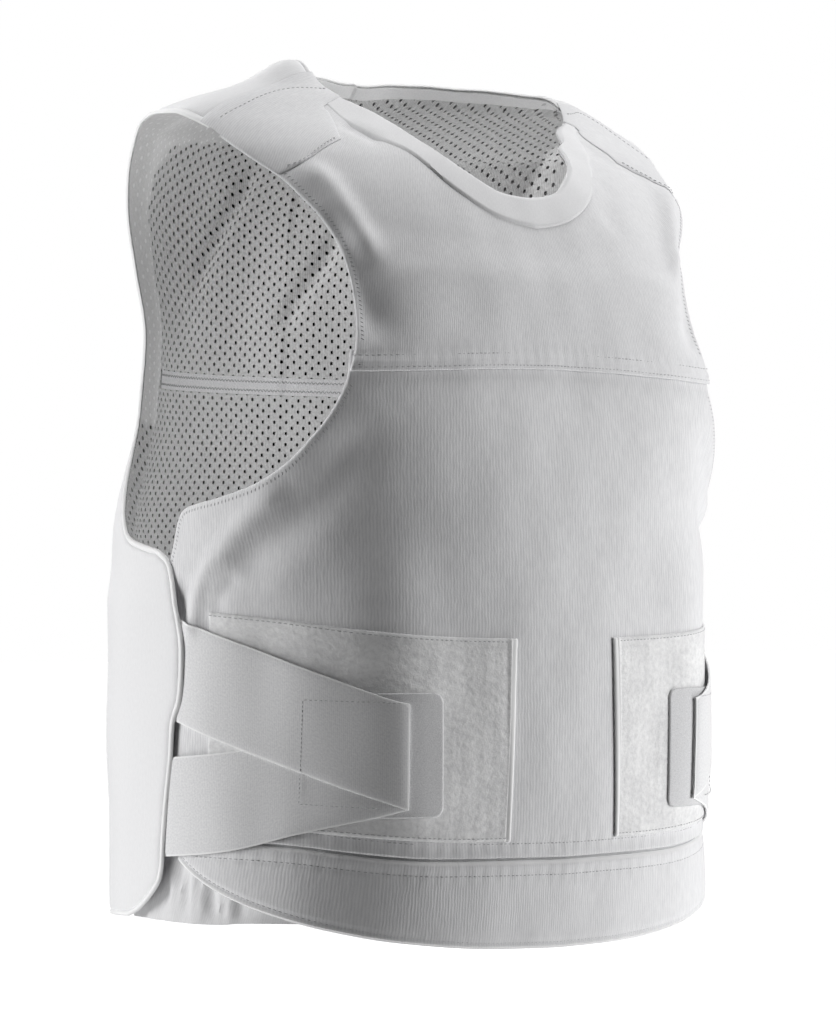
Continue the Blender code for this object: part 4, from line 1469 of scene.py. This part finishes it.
@dataclass
class BackShell:
    """The back's outer cloth with its two wings, whose edges are corded."""

    wardrobe: Wardrobe
    cloth: float = 1.4
    wing_stand: float = 4.8
    wing_bearings: Place = (115.0, 144.0)
    wing_rises: Place = (240.0, 300.0)
    wing_snug: float = 0.5
    snug_rises: Place = (180.0, 206.0)
    spacing: float = 3.2
    outline_step: float = 4.0
    edge_rings: tuple[float, ...] = (0.5, 0.9, 1.2, 0.5, 0.6)
    turned: float = 1.4
    cord: float = 3.1
    armhole: Edge = (
        (-80.6, 419), (-88, 423), (-97, 427), (-105, 429.5), (-111, 427), (-115, 418), (-118, 404),
        (-120, 380), (-120.5, 350), (-120.5, 320), (-119.5, 295), (-117.5, 275), (-114, 258),
        (-110.5, 243), (-108, 230), (-105, 220.5), (-100, 216.5), (-93, 213),
    )
    wing_edge: Edge = (
        (-93, 213), (-89.3, 207.5), (-87, 196), (-85, 181), (-83.4, 165), (-83.2, 150), (-83.9, 132),
        (-85.8, 119), (-86.1, 100), (-87, 78), (-88, 56), (-89, 37), (-92, 27), (-97, 17.5), (-102, 12.5),
    )
    hem: Edge = ((-102, 12.5), (-120, 10), (-150, 8), (-180, 8))
    panel_flat: Place = (560.0, 505.0)

    def face(self, bearing: Array, rise: Array) -> Array:
        """The back's outer face."""
        return back_rest(bearing, rise) + self.wing(bearing, rise)

    def wing(self, bearing: Array, rise: Array) -> Array:
        """How much further off the form the cloth is at the wings."""
        away = 1 - step_between(np.abs(turn(bearing)), *self.wing_bearings)
        snug = 1 - self.wing_snug * step_between(rise, *self.snug_rises)
        return self.wing_stand * away * snug * (1 - step_between(rise, *self.wing_rises))

    def build_panel(self) -> bpy.types.Object:
        """Cuts and sews the back panel."""
        shoulder_end = (BACK_NECKLINE[0], self.armhole[0])
        border = drawn_forward(both_sides(
            [BACK_NECKLINE[::-1], shoulder_end, self.armhole, self.wing_edge, self.hem],
            self.outline_step, BACK,
        ))
        cut = cut_panel(border, self.spacing, self.edge_rings)
        return Cut(
            "back_panel_cloth", cut, self.face, self.cloth, self.wardrobe.back, BACK,
            border=border, turned=self.turned, cord=self.cord,
        ).sew()

    def build(self) -> None:
        """Builds the back panel."""
        declare(
            self.build_panel(), ["back_panel"],
        )


@dataclass
class BackLining:
    """The back's dark armour, the pierced lining in front of it, its seam tape and neck facing."""

    wardrobe: Wardrobe
    shell: BackShell
    armour_depth: float = 3.8
    armour: float = 3.2
    armour_spacing: float = 12.0
    lining_depth: float = 8.3
    lining_rim: float = 1.0
    lining: float = 0.7
    closing: float = 14.0
    outline_step: float = 8.0
    inset: float = 0.8
    hem: float = 20.0
    lined_rows: int = 17
    side: Edge = ((-102, 206), (-106, 190), (-108.5, 165), (-108, 120))
    armour_edge: Edge = (
        (-180, 497), (-166, 494), (-158, 483), (-154, 466), (-150, 449), (-138, 436.5), (-131, 428),
        (-128, 414), (-127, 398), (-127.5, 375), (-129, 345), (-128.5, 300), (-127, 276), (-125, 255),
        (-122, 235), (-121, 84), (-126, 74), (-150, 70), (-180, 70),
    )
    hole_columns: float = 4.4
    hole_rows: float = 6.5
    hole: float = 1.15
    hole_margin: float = 2.6
    # Where the lining is lightened towards white, partly as painted light: past a turn from the middle in
    # degrees, fading in from 1 to 6 mm beyond the armour, and above a rise.
    dark_turn: float = 25.0
    white_from: Place = (1.0, 6.0)
    white_above: float = 285.0
    tape_rises: Place = (305.0, 315.5)
    tape_bearing: float = 129.0
    tape: float = 0.5
    tape_rows: Place = (-2.6, 2.6)
    trim_step: float = 3.0
    trim_gap: float = 0.1
    facing: float = 0.8
    facing_depth: float = 7.0
    facing_from: float = -80.0
    lining_flat: Place = (420.0, 495.0)
    tape_flat: Place = (285.0, 10.5)
    fill: float = 0.3

    def lining_face(self, bearing: Array, rise: Array) -> Array:
        """The lining's outer face, which comes up to the cloth at the vest's free edges."""
        places = np.stack([turn(bearing - BACK) * FORM.scale, rise], -1)
        armhole = curve_through(to_chart(self.shell.armhole[:self.lined_rows], BACK), self.outline_step)
        free = [across(BACK_NECKLINE, self.outline_step, BACK), armhole, drawn_forward(armhole * MIRROR)]
        near = np.min([nearest(places, line)[0] for line in free], axis=0)
        closing = np.clip(1 - near / self.closing, 0, 1)
        lift = self.lining_depth - self.lining_rim + self.shell.wing(bearing, rise)
        ridges = sum(fold.at(bearing, rise) for fold in LINING_FOLDS)
        return back_rest(bearing, rise) - self.lining_depth + lift * closing - ridges

    def trim_face(self, bearing: Array, rise: Array) -> Array:
        """The outer face of what is sewn on the lining's inner side."""
        return self.lining_face(bearing, rise) - self.lining - self.trim_gap

    def border(self) -> Array:
        """The lining's outline, drawn in from the cloth's."""
        foot = (self.side[-1][0], self.hem)
        shell = self.shell
        runs = [
            BACK_NECKLINE[::-1], (BACK_NECKLINE[0], shell.armhole[0]), shell.armhole[:self.lined_rows],
            [shell.armhole[self.lined_rows - 1], *self.side, foot], [foot, (-180, self.hem)],
        ]
        return drawn_in(drawn_forward(both_sides(runs, self.outline_step, BACK)), self.inset)

    def build_armour(self) -> None:
        """Builds the armour pack in its dark cover."""
        border = both_sides([self.armour_edge], self.outline_step, BACK)

        def face(bearing: Array, rise: Array) -> Array:
            """The pack's outer face."""
            return back_rest(bearing, rise) - self.armour_depth

        piece = Cut(
            "back_armour_pack", cut_panel(border, self.armour_spacing), face, self.armour,
            self.wardrobe.armour, BACK, soft_rim=0.4,
        ).sew()
        declare(piece, ["back_armour"])

    def pierced_cut(self) -> bmesh.types.BMesh:
        """A flat mesh cloth with a hole at each point of a staggered lattice.

        Only white cloth lies behind it along the right armhole, so there the holes are pale dots of its
        material.

        Returns:
            The cloth cut to the lining's outline, in chart millimetres.
        """
        border, laid = self.border(), LaidFlat()
        columns = 4 * math.ceil(laid.reach(border).max() / self.hole_columns / 2) + 4
        bottom, top = np.interp([border[:, 1].min(), border[:, 1].max()], laid.rises, laid.up)
        low = (bottom // self.hole_rows - 1) * self.hole_rows
        rows = math.ceil((top - low) / self.hole_rows) + 1
        bm = bmesh.new()
        bmesh.ops.create_grid(bm, x_segments=columns, y_segments=rows, size=1)
        for vert in bm.verts:
            column = round((vert.co.x + 1) / 2 * columns)
            row = round((vert.co.y + 1) / 2 * rows)
            vert.co.x = (column - columns / 2) * self.hole_columns
            vert.co.y = low + (row + 0.5 * (column % 2)) * self.hole_rows
        bmesh.ops.triangulate(bm, faces=bm.faces[:], quad_method="SHORT_EDGE")
        places = laid.charted(np.array([v.co[:2] for v in bm.verts]))
        pierced = within(places, border) & (rim_distance(places, border) > self.hole_margin)
        pierced &= self.over_white(places) < 0.5
        holes = [vert for vert, cut in zip(bm.verts[:], pierced) if cut]
        made = bmesh.ops.bevel(
            bm, geom=holes, offset=self.hole, affect="VERTICES", offset_type="OFFSET",
            segments=1, profile=0.5, material=-1,
        )
        bmesh.ops.delete(bm, geom=made["faces"], context="FACES_ONLY")
        grain = bm.loops.layers.uv.new("grain")
        for face in bm.faces:
            for loop in face.loops:
                loop[grain].uv = loop.vert.co.xy * MM
        for vert, place in zip(bm.verts, laid.charted(np.array([v.co[:2] for v in bm.verts]))):
            vert.co = (*place, 0)
        trimmed(bm, border)
        for edge in bm.edges:
            edge.smooth = not edge.is_boundary
        return bm

    def over_white(self, places: Array) -> Array:
        """1 where white cloth lies behind, beside the armour at the right armhole, and 0 elsewhere, also beside
        the armour at the left: partly the white behind, partly painted light coming through.
        """
        armour = both_sides([self.armour_edge], self.outline_step, BACK)
        beyond = np.where(within(places, armour), 0, rim_distance(places, armour))
        share = step_between(beyond, *self.white_from)
        return share * (places[:, 0] > self.dark_turn * FORM.scale) * (places[:, 1] > self.white_above)

    def build_lining(self) -> bpy.types.Object:
        """Cuts and sews the pierced lining."""
        cut = self.pierced_cut()
        # Each vertex's share of the lightening towards white, which is partly painted light.
        white = cut.verts.layers.float.new("over_white")
        for vert, share in zip(cut.verts, self.over_white(np.array([v.co[:2] for v in cut.verts]))):
            vert[white] = share
        return Cut(
            "back_mesh_lining", cut, self.lining_face, self.lining, self.wardrobe.mesh, BACK,
            border=self.border(), turn_depth=0.0, soft_rim=0.0,
        ).sew()

    def build_trims(self) -> tuple[bpy.types.Object, bpy.types.Object, bpy.types.Object]:
        """Sews the seam tape, its zigzag rows and the neck facing."""
        step = self.trim_step
        tape = [across(((-self.tape_bearing, rise), (-180, rise)), step, BACK) for rise in self.tape_rises]
        band = Cut(
            "lining_seam_tape", cut_strip(tape[1], tape[0], step, 6), self.trim_face, self.tape,
            self.wardrobe.tape, BACK,
        ).sew()
        faced = [row for row in BACK_NECKLINE if row[0] < self.facing_from]
        top = across(lowered(faced, self.inset), step, BACK)
        foot = across(lowered(faced, self.inset + self.facing_depth), step, BACK)
        facing = Cut(
            "back_neck_facing_tape", cut_strip(top, foot, step, 5), self.trim_face, self.facing,
            self.wardrobe.facing, BACK,
        ).sew()

        def inner(bearing: Array, rise: Array) -> Array:
            """The tape's inner face."""
            return self.trim_face(bearing, rise) - self.tape

        middle = sum(self.tape_rises) / 2
        rows = [
            StitchRow(
                across(((-self.tape_bearing, middle + at), (-180, middle + at)), 2.0, BACK),
                pitch=1.5, length=2.1, zigzag=48,
            )
            for at in self.tape_rows
        ]
        stitches = Stitching("lining_tape_stitches", inner, self.wardrobe.thread, BACK, rows).sew()
        return band, facing, stitches

    def build(self) -> None:
        """Builds the armour, the lining and what is sewn on it."""
        self.build_armour()
        lining = self.build_lining()
        tape, facing, stitches = self.build_trims()
        declare(facing, ["back_neck_facing"])
        declare(
            tape, ["lining_tape"],
            [stitches],
        )
        declare(
            lining, ["back_lining"],
            [facing],
        )


def trimmed(bm: bmesh.types.BMesh, border: Array, cell: float = 10.0) -> None:
    """Cuts a flat mesh along an outline, and takes away what lies outside it.

    Args:
        bm: The mesh, in chart millimetres.
        border: The outline.
        cell: The width of the squares that the faces are sorted into.
    """
    shelves: dict[tuple[int, int], list] = {}

    def shelve(face: bmesh.types.BMFace) -> None:
        """Puts a face on the shelf of the square that its middle lies in."""
        middle = face.calc_center_median()
        shelves.setdefault((int(middle.x // cell), int(middle.y // cell)), []).append(face)

    for face in bm.faces:
        shelve(face)
    for a, b in zip(border, np.roll(border, -1, axis=0)):
        middle, way = (a + b) / 2, b - a
        column, row = (int(m // cell) for m in middle)
        squares = [(column + i, row + k) for i in (-1, 0, 1) for k in (-1, 0, 1)]
        local = [face for square in squares for face in shelves.get(square, []) if face.is_valid]
        geom = {*local, *(e for f in local for e in f.edges), *(v for f in local for v in f.verts)}
        cut = bmesh.ops.bisect_plane(
            bm, geom=list(geom), plane_co=(*a, 0), plane_no=(-way[1], way[0], 0), dist=0.01
        )
        known = set(local)
        for face in cut["geom"]:
            if isinstance(face, bmesh.types.BMFace) and face not in known:
                shelve(face)
    centres = np.array([f.calc_center_median()[:2] for f in bm.faces])
    outside = [face for face, kept in zip(bm.faces[:], within(centres, border)) if not kept]
    bmesh.ops.delete(bm, geom=outside, context="FACES")


@dataclass
class SideFastening:
    """One side's loop patch, hook pad and pair of elastic straps."""

    wardrobe: Wardrobe
    side: Side
    patch: float = 1.1
    patch_stand: float = 0.1
    pile_from: Place = (16.2, 16.8)
    selvage_stand: float = 0.5
    pad: float = 0.9
    pad_stand: float = 1.5
    elastic: float = 1.0
    patch_top: Edge = ((-14.2, 165), (-33, 166.5), (-48, 170), (-63, 175.5), (-78, 179.5))
    patch_foot: Edge = ((-15.6, 56), (-33, 57), (-60, 63), (-78, 66))
    upper_top: Edge = ((-39.6, 131), (-44.5, 134.7), (-58.5, 150), (-70, 162), (-83.5, 174), (-92, 178))
    upper_foot: Edge = ((-39.9, 74.6), (-51.5, 86.3), (-66, 101.5), (-84.5, 119), (-92, 122))
    lower_top: Edge = ((-39.6, 130.4), (-55, 119), (-70.7, 106.2), (-85.6, 101.3), (-92, 100.5))
    lower_foot: Edge = ((-39.9, 75), (-44.5, 71.6), (-58.8, 62.3), (-72.7, 51.9), (-87.7, 47.3), (-92, 47))
    pad_bearings: Place = (-58.0, -32.4)
    pad_rises: Place = (70.5, 136.5)
    pad_corner: float = 5.0
    corner_bow: float = 0.3
    patch_turned: float = 0.8
    pad_turned: float = 0.7
    strap_turned: float = 0.5
    patch_row: float = 2.0
    pile_clumps: float = 0.12
    pile_loops: float = 0.07
    # How far each strap's inner face stands off, by bearing: over the cloth, the patch and the pad.
    lower_stand: Edge = ((-95, 1.6), (-86, 1.6), (-77, 1.6), (-68, 1.6), (-60, 2.6), (-39, 2.6))
    upper_stand: Edge = ((-95, 1.6), (-87, 1.6), (-77, 2.9), (-68, 2.9), (-60, 3.8), (-39, 3.8))
    box_stitch: Edge = ((-41.2, 131.5), (-58.6, 133), (-59.3, 78), (-45, 76))
    patch_flat: Place = (172.0, 112.0)
    strap_flat: Place = (150.0, 60.0)
    pad_flat: Place = (70.0, 66.0)

    def pile_height(self, bearing: Array, rise: Array) -> Array:
        """The clumps of the napped loops."""
        x, y = turn(bearing) * FORM.scale, rise
        clumps = np.sin(x * 1.7 + 2.2 * np.sin(y * 0.9)) * np.sin(y * 1.9 + 1.7 * np.sin(x * 1.1))
        fine = np.sin(x * 3.1 + y * 2.3) * np.sin(x * 2.3 - y * 3.4)
        return self.pile_clumps * clumps + self.pile_loops * fine

    def patch_face(self, bearing: Array, rise: Array) -> Array:
        """The patch's outer face, without its pile."""
        return front_rest(bearing, rise) + self.patch_stand + self.patch

    def pile_face(self, bearing: Array, rise: Array) -> Array:
        """The patch's outer face, with its pile, which stops at the woven selvage."""
        inner = np.abs(turn(bearing))
        pile = step_between(inner, *self.pile_from)
        woven = self.selvage_stand * (1 - pile)
        return self.patch_face(bearing, rise) + self.pile_height(bearing, rise) * pile + woven

    def strap_face(self, table: Edge) -> Face:
        """A strap's outer face, from the table of how far its inner face stands off."""

        def face(bearing: Array, rise: Array) -> Array:
            """The strap's outer face."""
            stand = smooth_rows(table, -np.abs(turn(bearing)))[..., 0]
            return front_rest(bearing, rise) + stand + self.elastic

        return face

    def strip(self, top: Edge, foot: Edge, spacing: float, rows: int) -> tuple[bmesh.types.BMesh, Array]:
        """A strip between two edges on this side, and its outline."""
        upper, lower = (curve_through(to_chart(edge), spacing) * self.side.own for edge in (top, foot))
        return cut_strip(upper, lower, spacing, rows), np.concatenate([upper, lower[::-1]])

    def build_patch(self) -> bpy.types.Object:
        """Sews the loop patch."""
        cut, border = self.strip(self.patch_top, self.patch_foot, 1.1, 100)
        return Cut(
            f"loop_pile_patch_{self.side.word}", cut, self.pile_face, self.patch, self.wardrobe.pile,
            border=border, turned=self.patch_turned,
        ).sew()

    def build_pad(self) -> bpy.types.Object:
        """Sews the hook pad, with its corners cut round."""
        (left, right), (low, high) = self.pad_bearings, self.pad_rises

        def rounded(bearing: float, rise: float, aside: int, up: int) -> list[Place]:
            """A corner cut round, from its upright edge to its level one."""
            in_by, up_by = aside * math.degrees(self.pad_corner / FORM.crown_radius), up * self.pad_corner
            bowed = (bearing + self.corner_bow * in_by, rise + self.corner_bow * up_by)
            return [(bearing, rise + up_by), bowed, (bearing + in_by, rise)]

        corners = [
            rounded(left, high, 1, -1), rounded(right, high, -1, -1)[::-1],
            rounded(right, low, -1, 1), rounded(left, low, 1, 1)[::-1],
        ]
        runs = [
            run for before, corner in zip([corners[-1], *corners], corners)
            for run in ([before[-1], corner[0]], corner)
        ]
        border = outline(runs, 2.0) * self.side.own

        def face(bearing: Array, rise: Array) -> Array:
            """The pad's outer face."""
            return front_rest(bearing, rise) + self.pad_stand + self.pad

        return Cut(
            f"hook_pad_backing_{self.side.word}", cut_panel(border, 3.0, (0.4, 0.6)), face, self.pad,
            self.wardrobe.pad, border=border, turned=self.pad_turned,
        ).sew()

    def build_strap(self, word: str, top: Edge, foot: Edge, table: Edge) -> bpy.types.Object:
        """Sews one elastic strap."""
        cut, border = self.strip(top, foot, 2.6, 22)
        return Cut(
            f"{word}_elastic_strap_{self.side.word}", cut, self.strap_face(table), self.elastic,
            self.wardrobe.elastic, border=border, turned=self.strap_turned,
        ).sew()

    def stitch(self) -> bpy.types.Object:
        """Sews the box of stitches that holds the straps to the hook pad."""
        corners = to_chart(self.box_stitch) * self.side.own
        rows = [
            StitchRow(resampled(np.array([a, b]), 8), pitch=2.4, length=1.6, radius=0.22)
            for a, b in zip(corners[:-1], corners[1:])
        ]
        face = self.strap_face(self.upper_stand)
        return Stitching(f"strap_stitches_{self.side.word}", face, self.wardrobe.thread, rows=rows).sew()

    def stitch_patch(self) -> bpy.types.Object:
        """Sews the rows that hold the patch down."""
        edges = (self.patch_top, self.patch_foot)
        top, foot = (curve_through(to_chart(edge), 2.0) * self.side.own for edge in edges)
        inward = self.patch_row * self.side.value
        rows = [StitchRow(beside(top, inward)), StitchRow(beside(foot, -inward))]
        name = f"patch_stitches_{self.side.word}"
        return Stitching(name, self.patch_face, self.wardrobe.thread, rows=rows).sew()

    def build(self) -> None:
        """Builds the fastening's pieces and stitches."""
        word = self.side.word
        patch = self.build_patch()
        declare(
            patch, [f"loop_patch_{word}"],
            [self.stitch_patch()],
        )
        pad = self.build_pad()
        declare(pad, [f"hook_pad_{word}"])
        lower = self.build_strap("lower", self.lower_top, self.lower_foot, self.lower_stand)
        declare(
            lower, [f"lower_strap_{word}"]
        )
        upper = self.build_strap("upper", self.upper_top, self.upper_foot, self.upper_stand)
        declare(
            upper, [f"upper_strap_{word}"],
            [self.stitch()],
        )


@dataclass
class ShoulderTab:
    """The tab that holds one side's back strap down over the front's shoulder."""

    wardrobe: Wardrobe
    side: Side
    tab: float = 0.9
    stand: float = 0.4
    eased: float = 10.0
    ease: float = 1.0
    spacing: float = 3.0
    edge_rings: tuple[float, ...] = (0.4, 0.8, 1.2)
    rear: Edge = ((-68.8, 485), (-75.5, 486.3), (-80.3, 487), (-82.6, 487.6))
    arm: Edge = ((-82.6, 420.2), (-79.0, 417.2), (-72.5, 410.2), (-65.8, 402.8))
    front: Edge = ((-65.8, 402.8), (-62, 413.7), (-57.8, 439.5))
    inner: Edge = ((-57.8, 439.5), (-62.5, 455), (-66.5, 464), (-68.8, 467), (-68.8, 485))
    rear_row: Edge = ((-80.0, 424), (-79.5, 437), (-79.4, 457), (-78, 470), (-74.5, 484))
    front_row: Edge = ((-65, 408), (-62.1, 415), (-58.9, 438))
    tab_flat: Place = (88.0, 62.0)

    def face(self, bearing: Array, rise: Array) -> Array:
        """The tab's outer face, which eases down to the yoke at its edge."""
        return front_rest(bearing, rise) + self.stand + self.tab

    def build(self) -> None:
        """Builds the tab and its rows of stitches."""
        runs = [self.rear, [self.rear[-1], self.arm[0]], self.arm, self.front, self.inner]
        border = outline(runs, self.spacing) * self.side.own
        cut = cut_panel(border, self.spacing, self.edge_rings)
        piece = Cut(
            f"shoulder_tab_cloth_{self.side.word}", cut, self.face, self.tab, self.wardrobe.yoke,
            border=border, turned=self.eased, turn_depth=self.ease, thin_rim=self.eased, thinnest=0.15,
            soft_rim=0.1,
        ).sew()
        rows = [
            StitchRow(curve_through(to_chart(edge), 2.0) * self.side.own, pitch=2.6, length=1.8)
            for edge in (self.rear_row, self.front_row)
        ]
        stitches = Stitching(f"tab_stitches_{self.side.word}", self.face, self.wardrobe.thread, rows=rows).sew()
        declare(
            piece, [f"shoulder_tab_{self.side.word}"],
            [stitches],
        )


@dataclass
class Studio:
    """The pale floor, the soft lights and the photograph's camera."""

    camera_place: tuple[float, float, float] = (-1.4776, -1.8912, -0.279)
    camera_turn: float = -38.0
    lens: float = 149.3
    image: Place = (836.0, 1024.0)
    frame_shift: Place = (4.0, 63.0)
    floor_level: float = -0.62
    # name, bearing, distance, height, power
    lights: tuple[tuple[str, float, float, float, float], ...] = (
        ("left_softbox", -115.0, 1.5, -0.1, 15.0),
        ("right_softbox", 48.0, 1.5, -0.1, 16.5),
        ("rear_softbox", 150.0, 1.5, -0.1, 10.0),
        ("top_softbox", 0.0, 0.01, 1.4, 20.0),
        ("low_left_softbox", -110.0, 1.1, -1.3, 9.0),
        ("low_right_softbox", 56.0, 1.1, -1.3, 13.0),
    )
    light_size: float = 0.9
    aim: float = -0.22
    surround: float = 0.02
    sensor: float = 36.0
    floor_half: float = 12.0

    def build_camera(self) -> None:
        """Sets the camera where the photograph was taken."""
        data = bpy.data.cameras.new("camera")
        data.sensor_fit = "VERTICAL"
        data.sensor_height = self.sensor
        data.lens = self.lens
        data.shift_x, data.shift_y = (pixels / self.image[1] for pixels in self.frame_shift)
        camera = bpy.data.objects.new("camera", data)
        camera.location = self.camera_place
        camera.rotation_euler = (math.radians(90), 0, math.radians(self.camera_turn))
        bpy.context.scene.collection.objects.link(camera)
        bpy.context.scene.camera = camera

    def build_floor(self) -> None:
        """Lays the floor, a clear sheet lit white from below that throws no light back on the vest."""
        bm = bmesh.new()
        bmesh.ops.create_grid(bm, x_segments=2, y_segments=2, size=self.floor_half)
        for vert in bm.verts:
            vert.co.z = self.floor_level
        mesh = bpy.data.meshes.new("studio_floor")
        bm.to_mesh(mesh)
        bm.free()
        paper = new_material("lit_white_sheet")
        shader = paper.node_tree.nodes["Principled BSDF"]
        shader.inputs["Base Color"].default_value = linear("#f4f4f4")
        shader.inputs["Roughness"].default_value = 1.0
        shader.inputs["Emission Color"].default_value = (1.0, 1.0, 1.0, 1.0)
        shader.inputs["Emission Strength"].default_value = 1.0
        mesh.materials.append(paper)
        floor = bpy.data.objects.new("studio_floor", mesh)
        bpy.context.scene.collection.objects.link(floor)
        floor.visible_diffuse = floor.visible_glossy = floor.visible_shadow = False

    def build_lights(self) -> None:
        """Hangs the softboxes and sets the pale surround."""
        for name, bearing, distance, height, power in self.lights:
            data = bpy.data.lights.new(name, "AREA")
            data.shape = "SQUARE"
            data.size = self.light_size
            data.energy = power
            lamp = bpy.data.objects.new(name, data)
            angle = math.radians(bearing)
            lamp.location = (distance * math.sin(angle), -distance * math.cos(angle), height)
            way = Vector((0, 0, self.aim)) - Vector(lamp.location)
            lamp.rotation_euler = way.to_track_quat("-Z", "Y").to_euler()
            bpy.context.scene.collection.objects.link(lamp)
        world = bpy.data.worlds.new("surround")
        world.use_nodes = True
        tree = world.node_tree
        tree.nodes.clear()
        seen = add(tree, "LightPath")
        glow = add(tree, "Background", {"Color": (1, 1, 1, 1), "Strength": self.surround})
        paper = add(tree, "Background", {"Color": (1, 1, 1, 1), "Strength": 1.0})
        mixed = add(tree, "MixShader", {0: (seen, "Is Camera Ray"), 1: glow, 2: paper})
        add(tree, "OutputWorld", {0: mixed})
        bpy.context.scene.world = world
        bpy.context.scene.view_settings.view_transform = "Standard"

    def build(self) -> None:
        """Builds the studio."""
        self.build_camera()
        self.build_floor()
        self.build_lights()


def main() -> None:
    """Builds the vest's sub-assemblies in order, then the studio."""
    logging.basicConfig(level=logging.INFO, format="%(name)s: %(message)s")
    wardrobe = Wardrobe()
    FrontPack(wardrobe).build()
    FrontShell(wardrobe).build()
    Tail(wardrobe).build()
    shell = BackShell(wardrobe)
    shell.build()
    BackLining(wardrobe, shell).build()
    for side in Side:
        SideFastening(wardrobe, side).build()
        ShoulderTab(wardrobe, side).build()
    Studio().build()


if __name__ == "__main__":
    main()
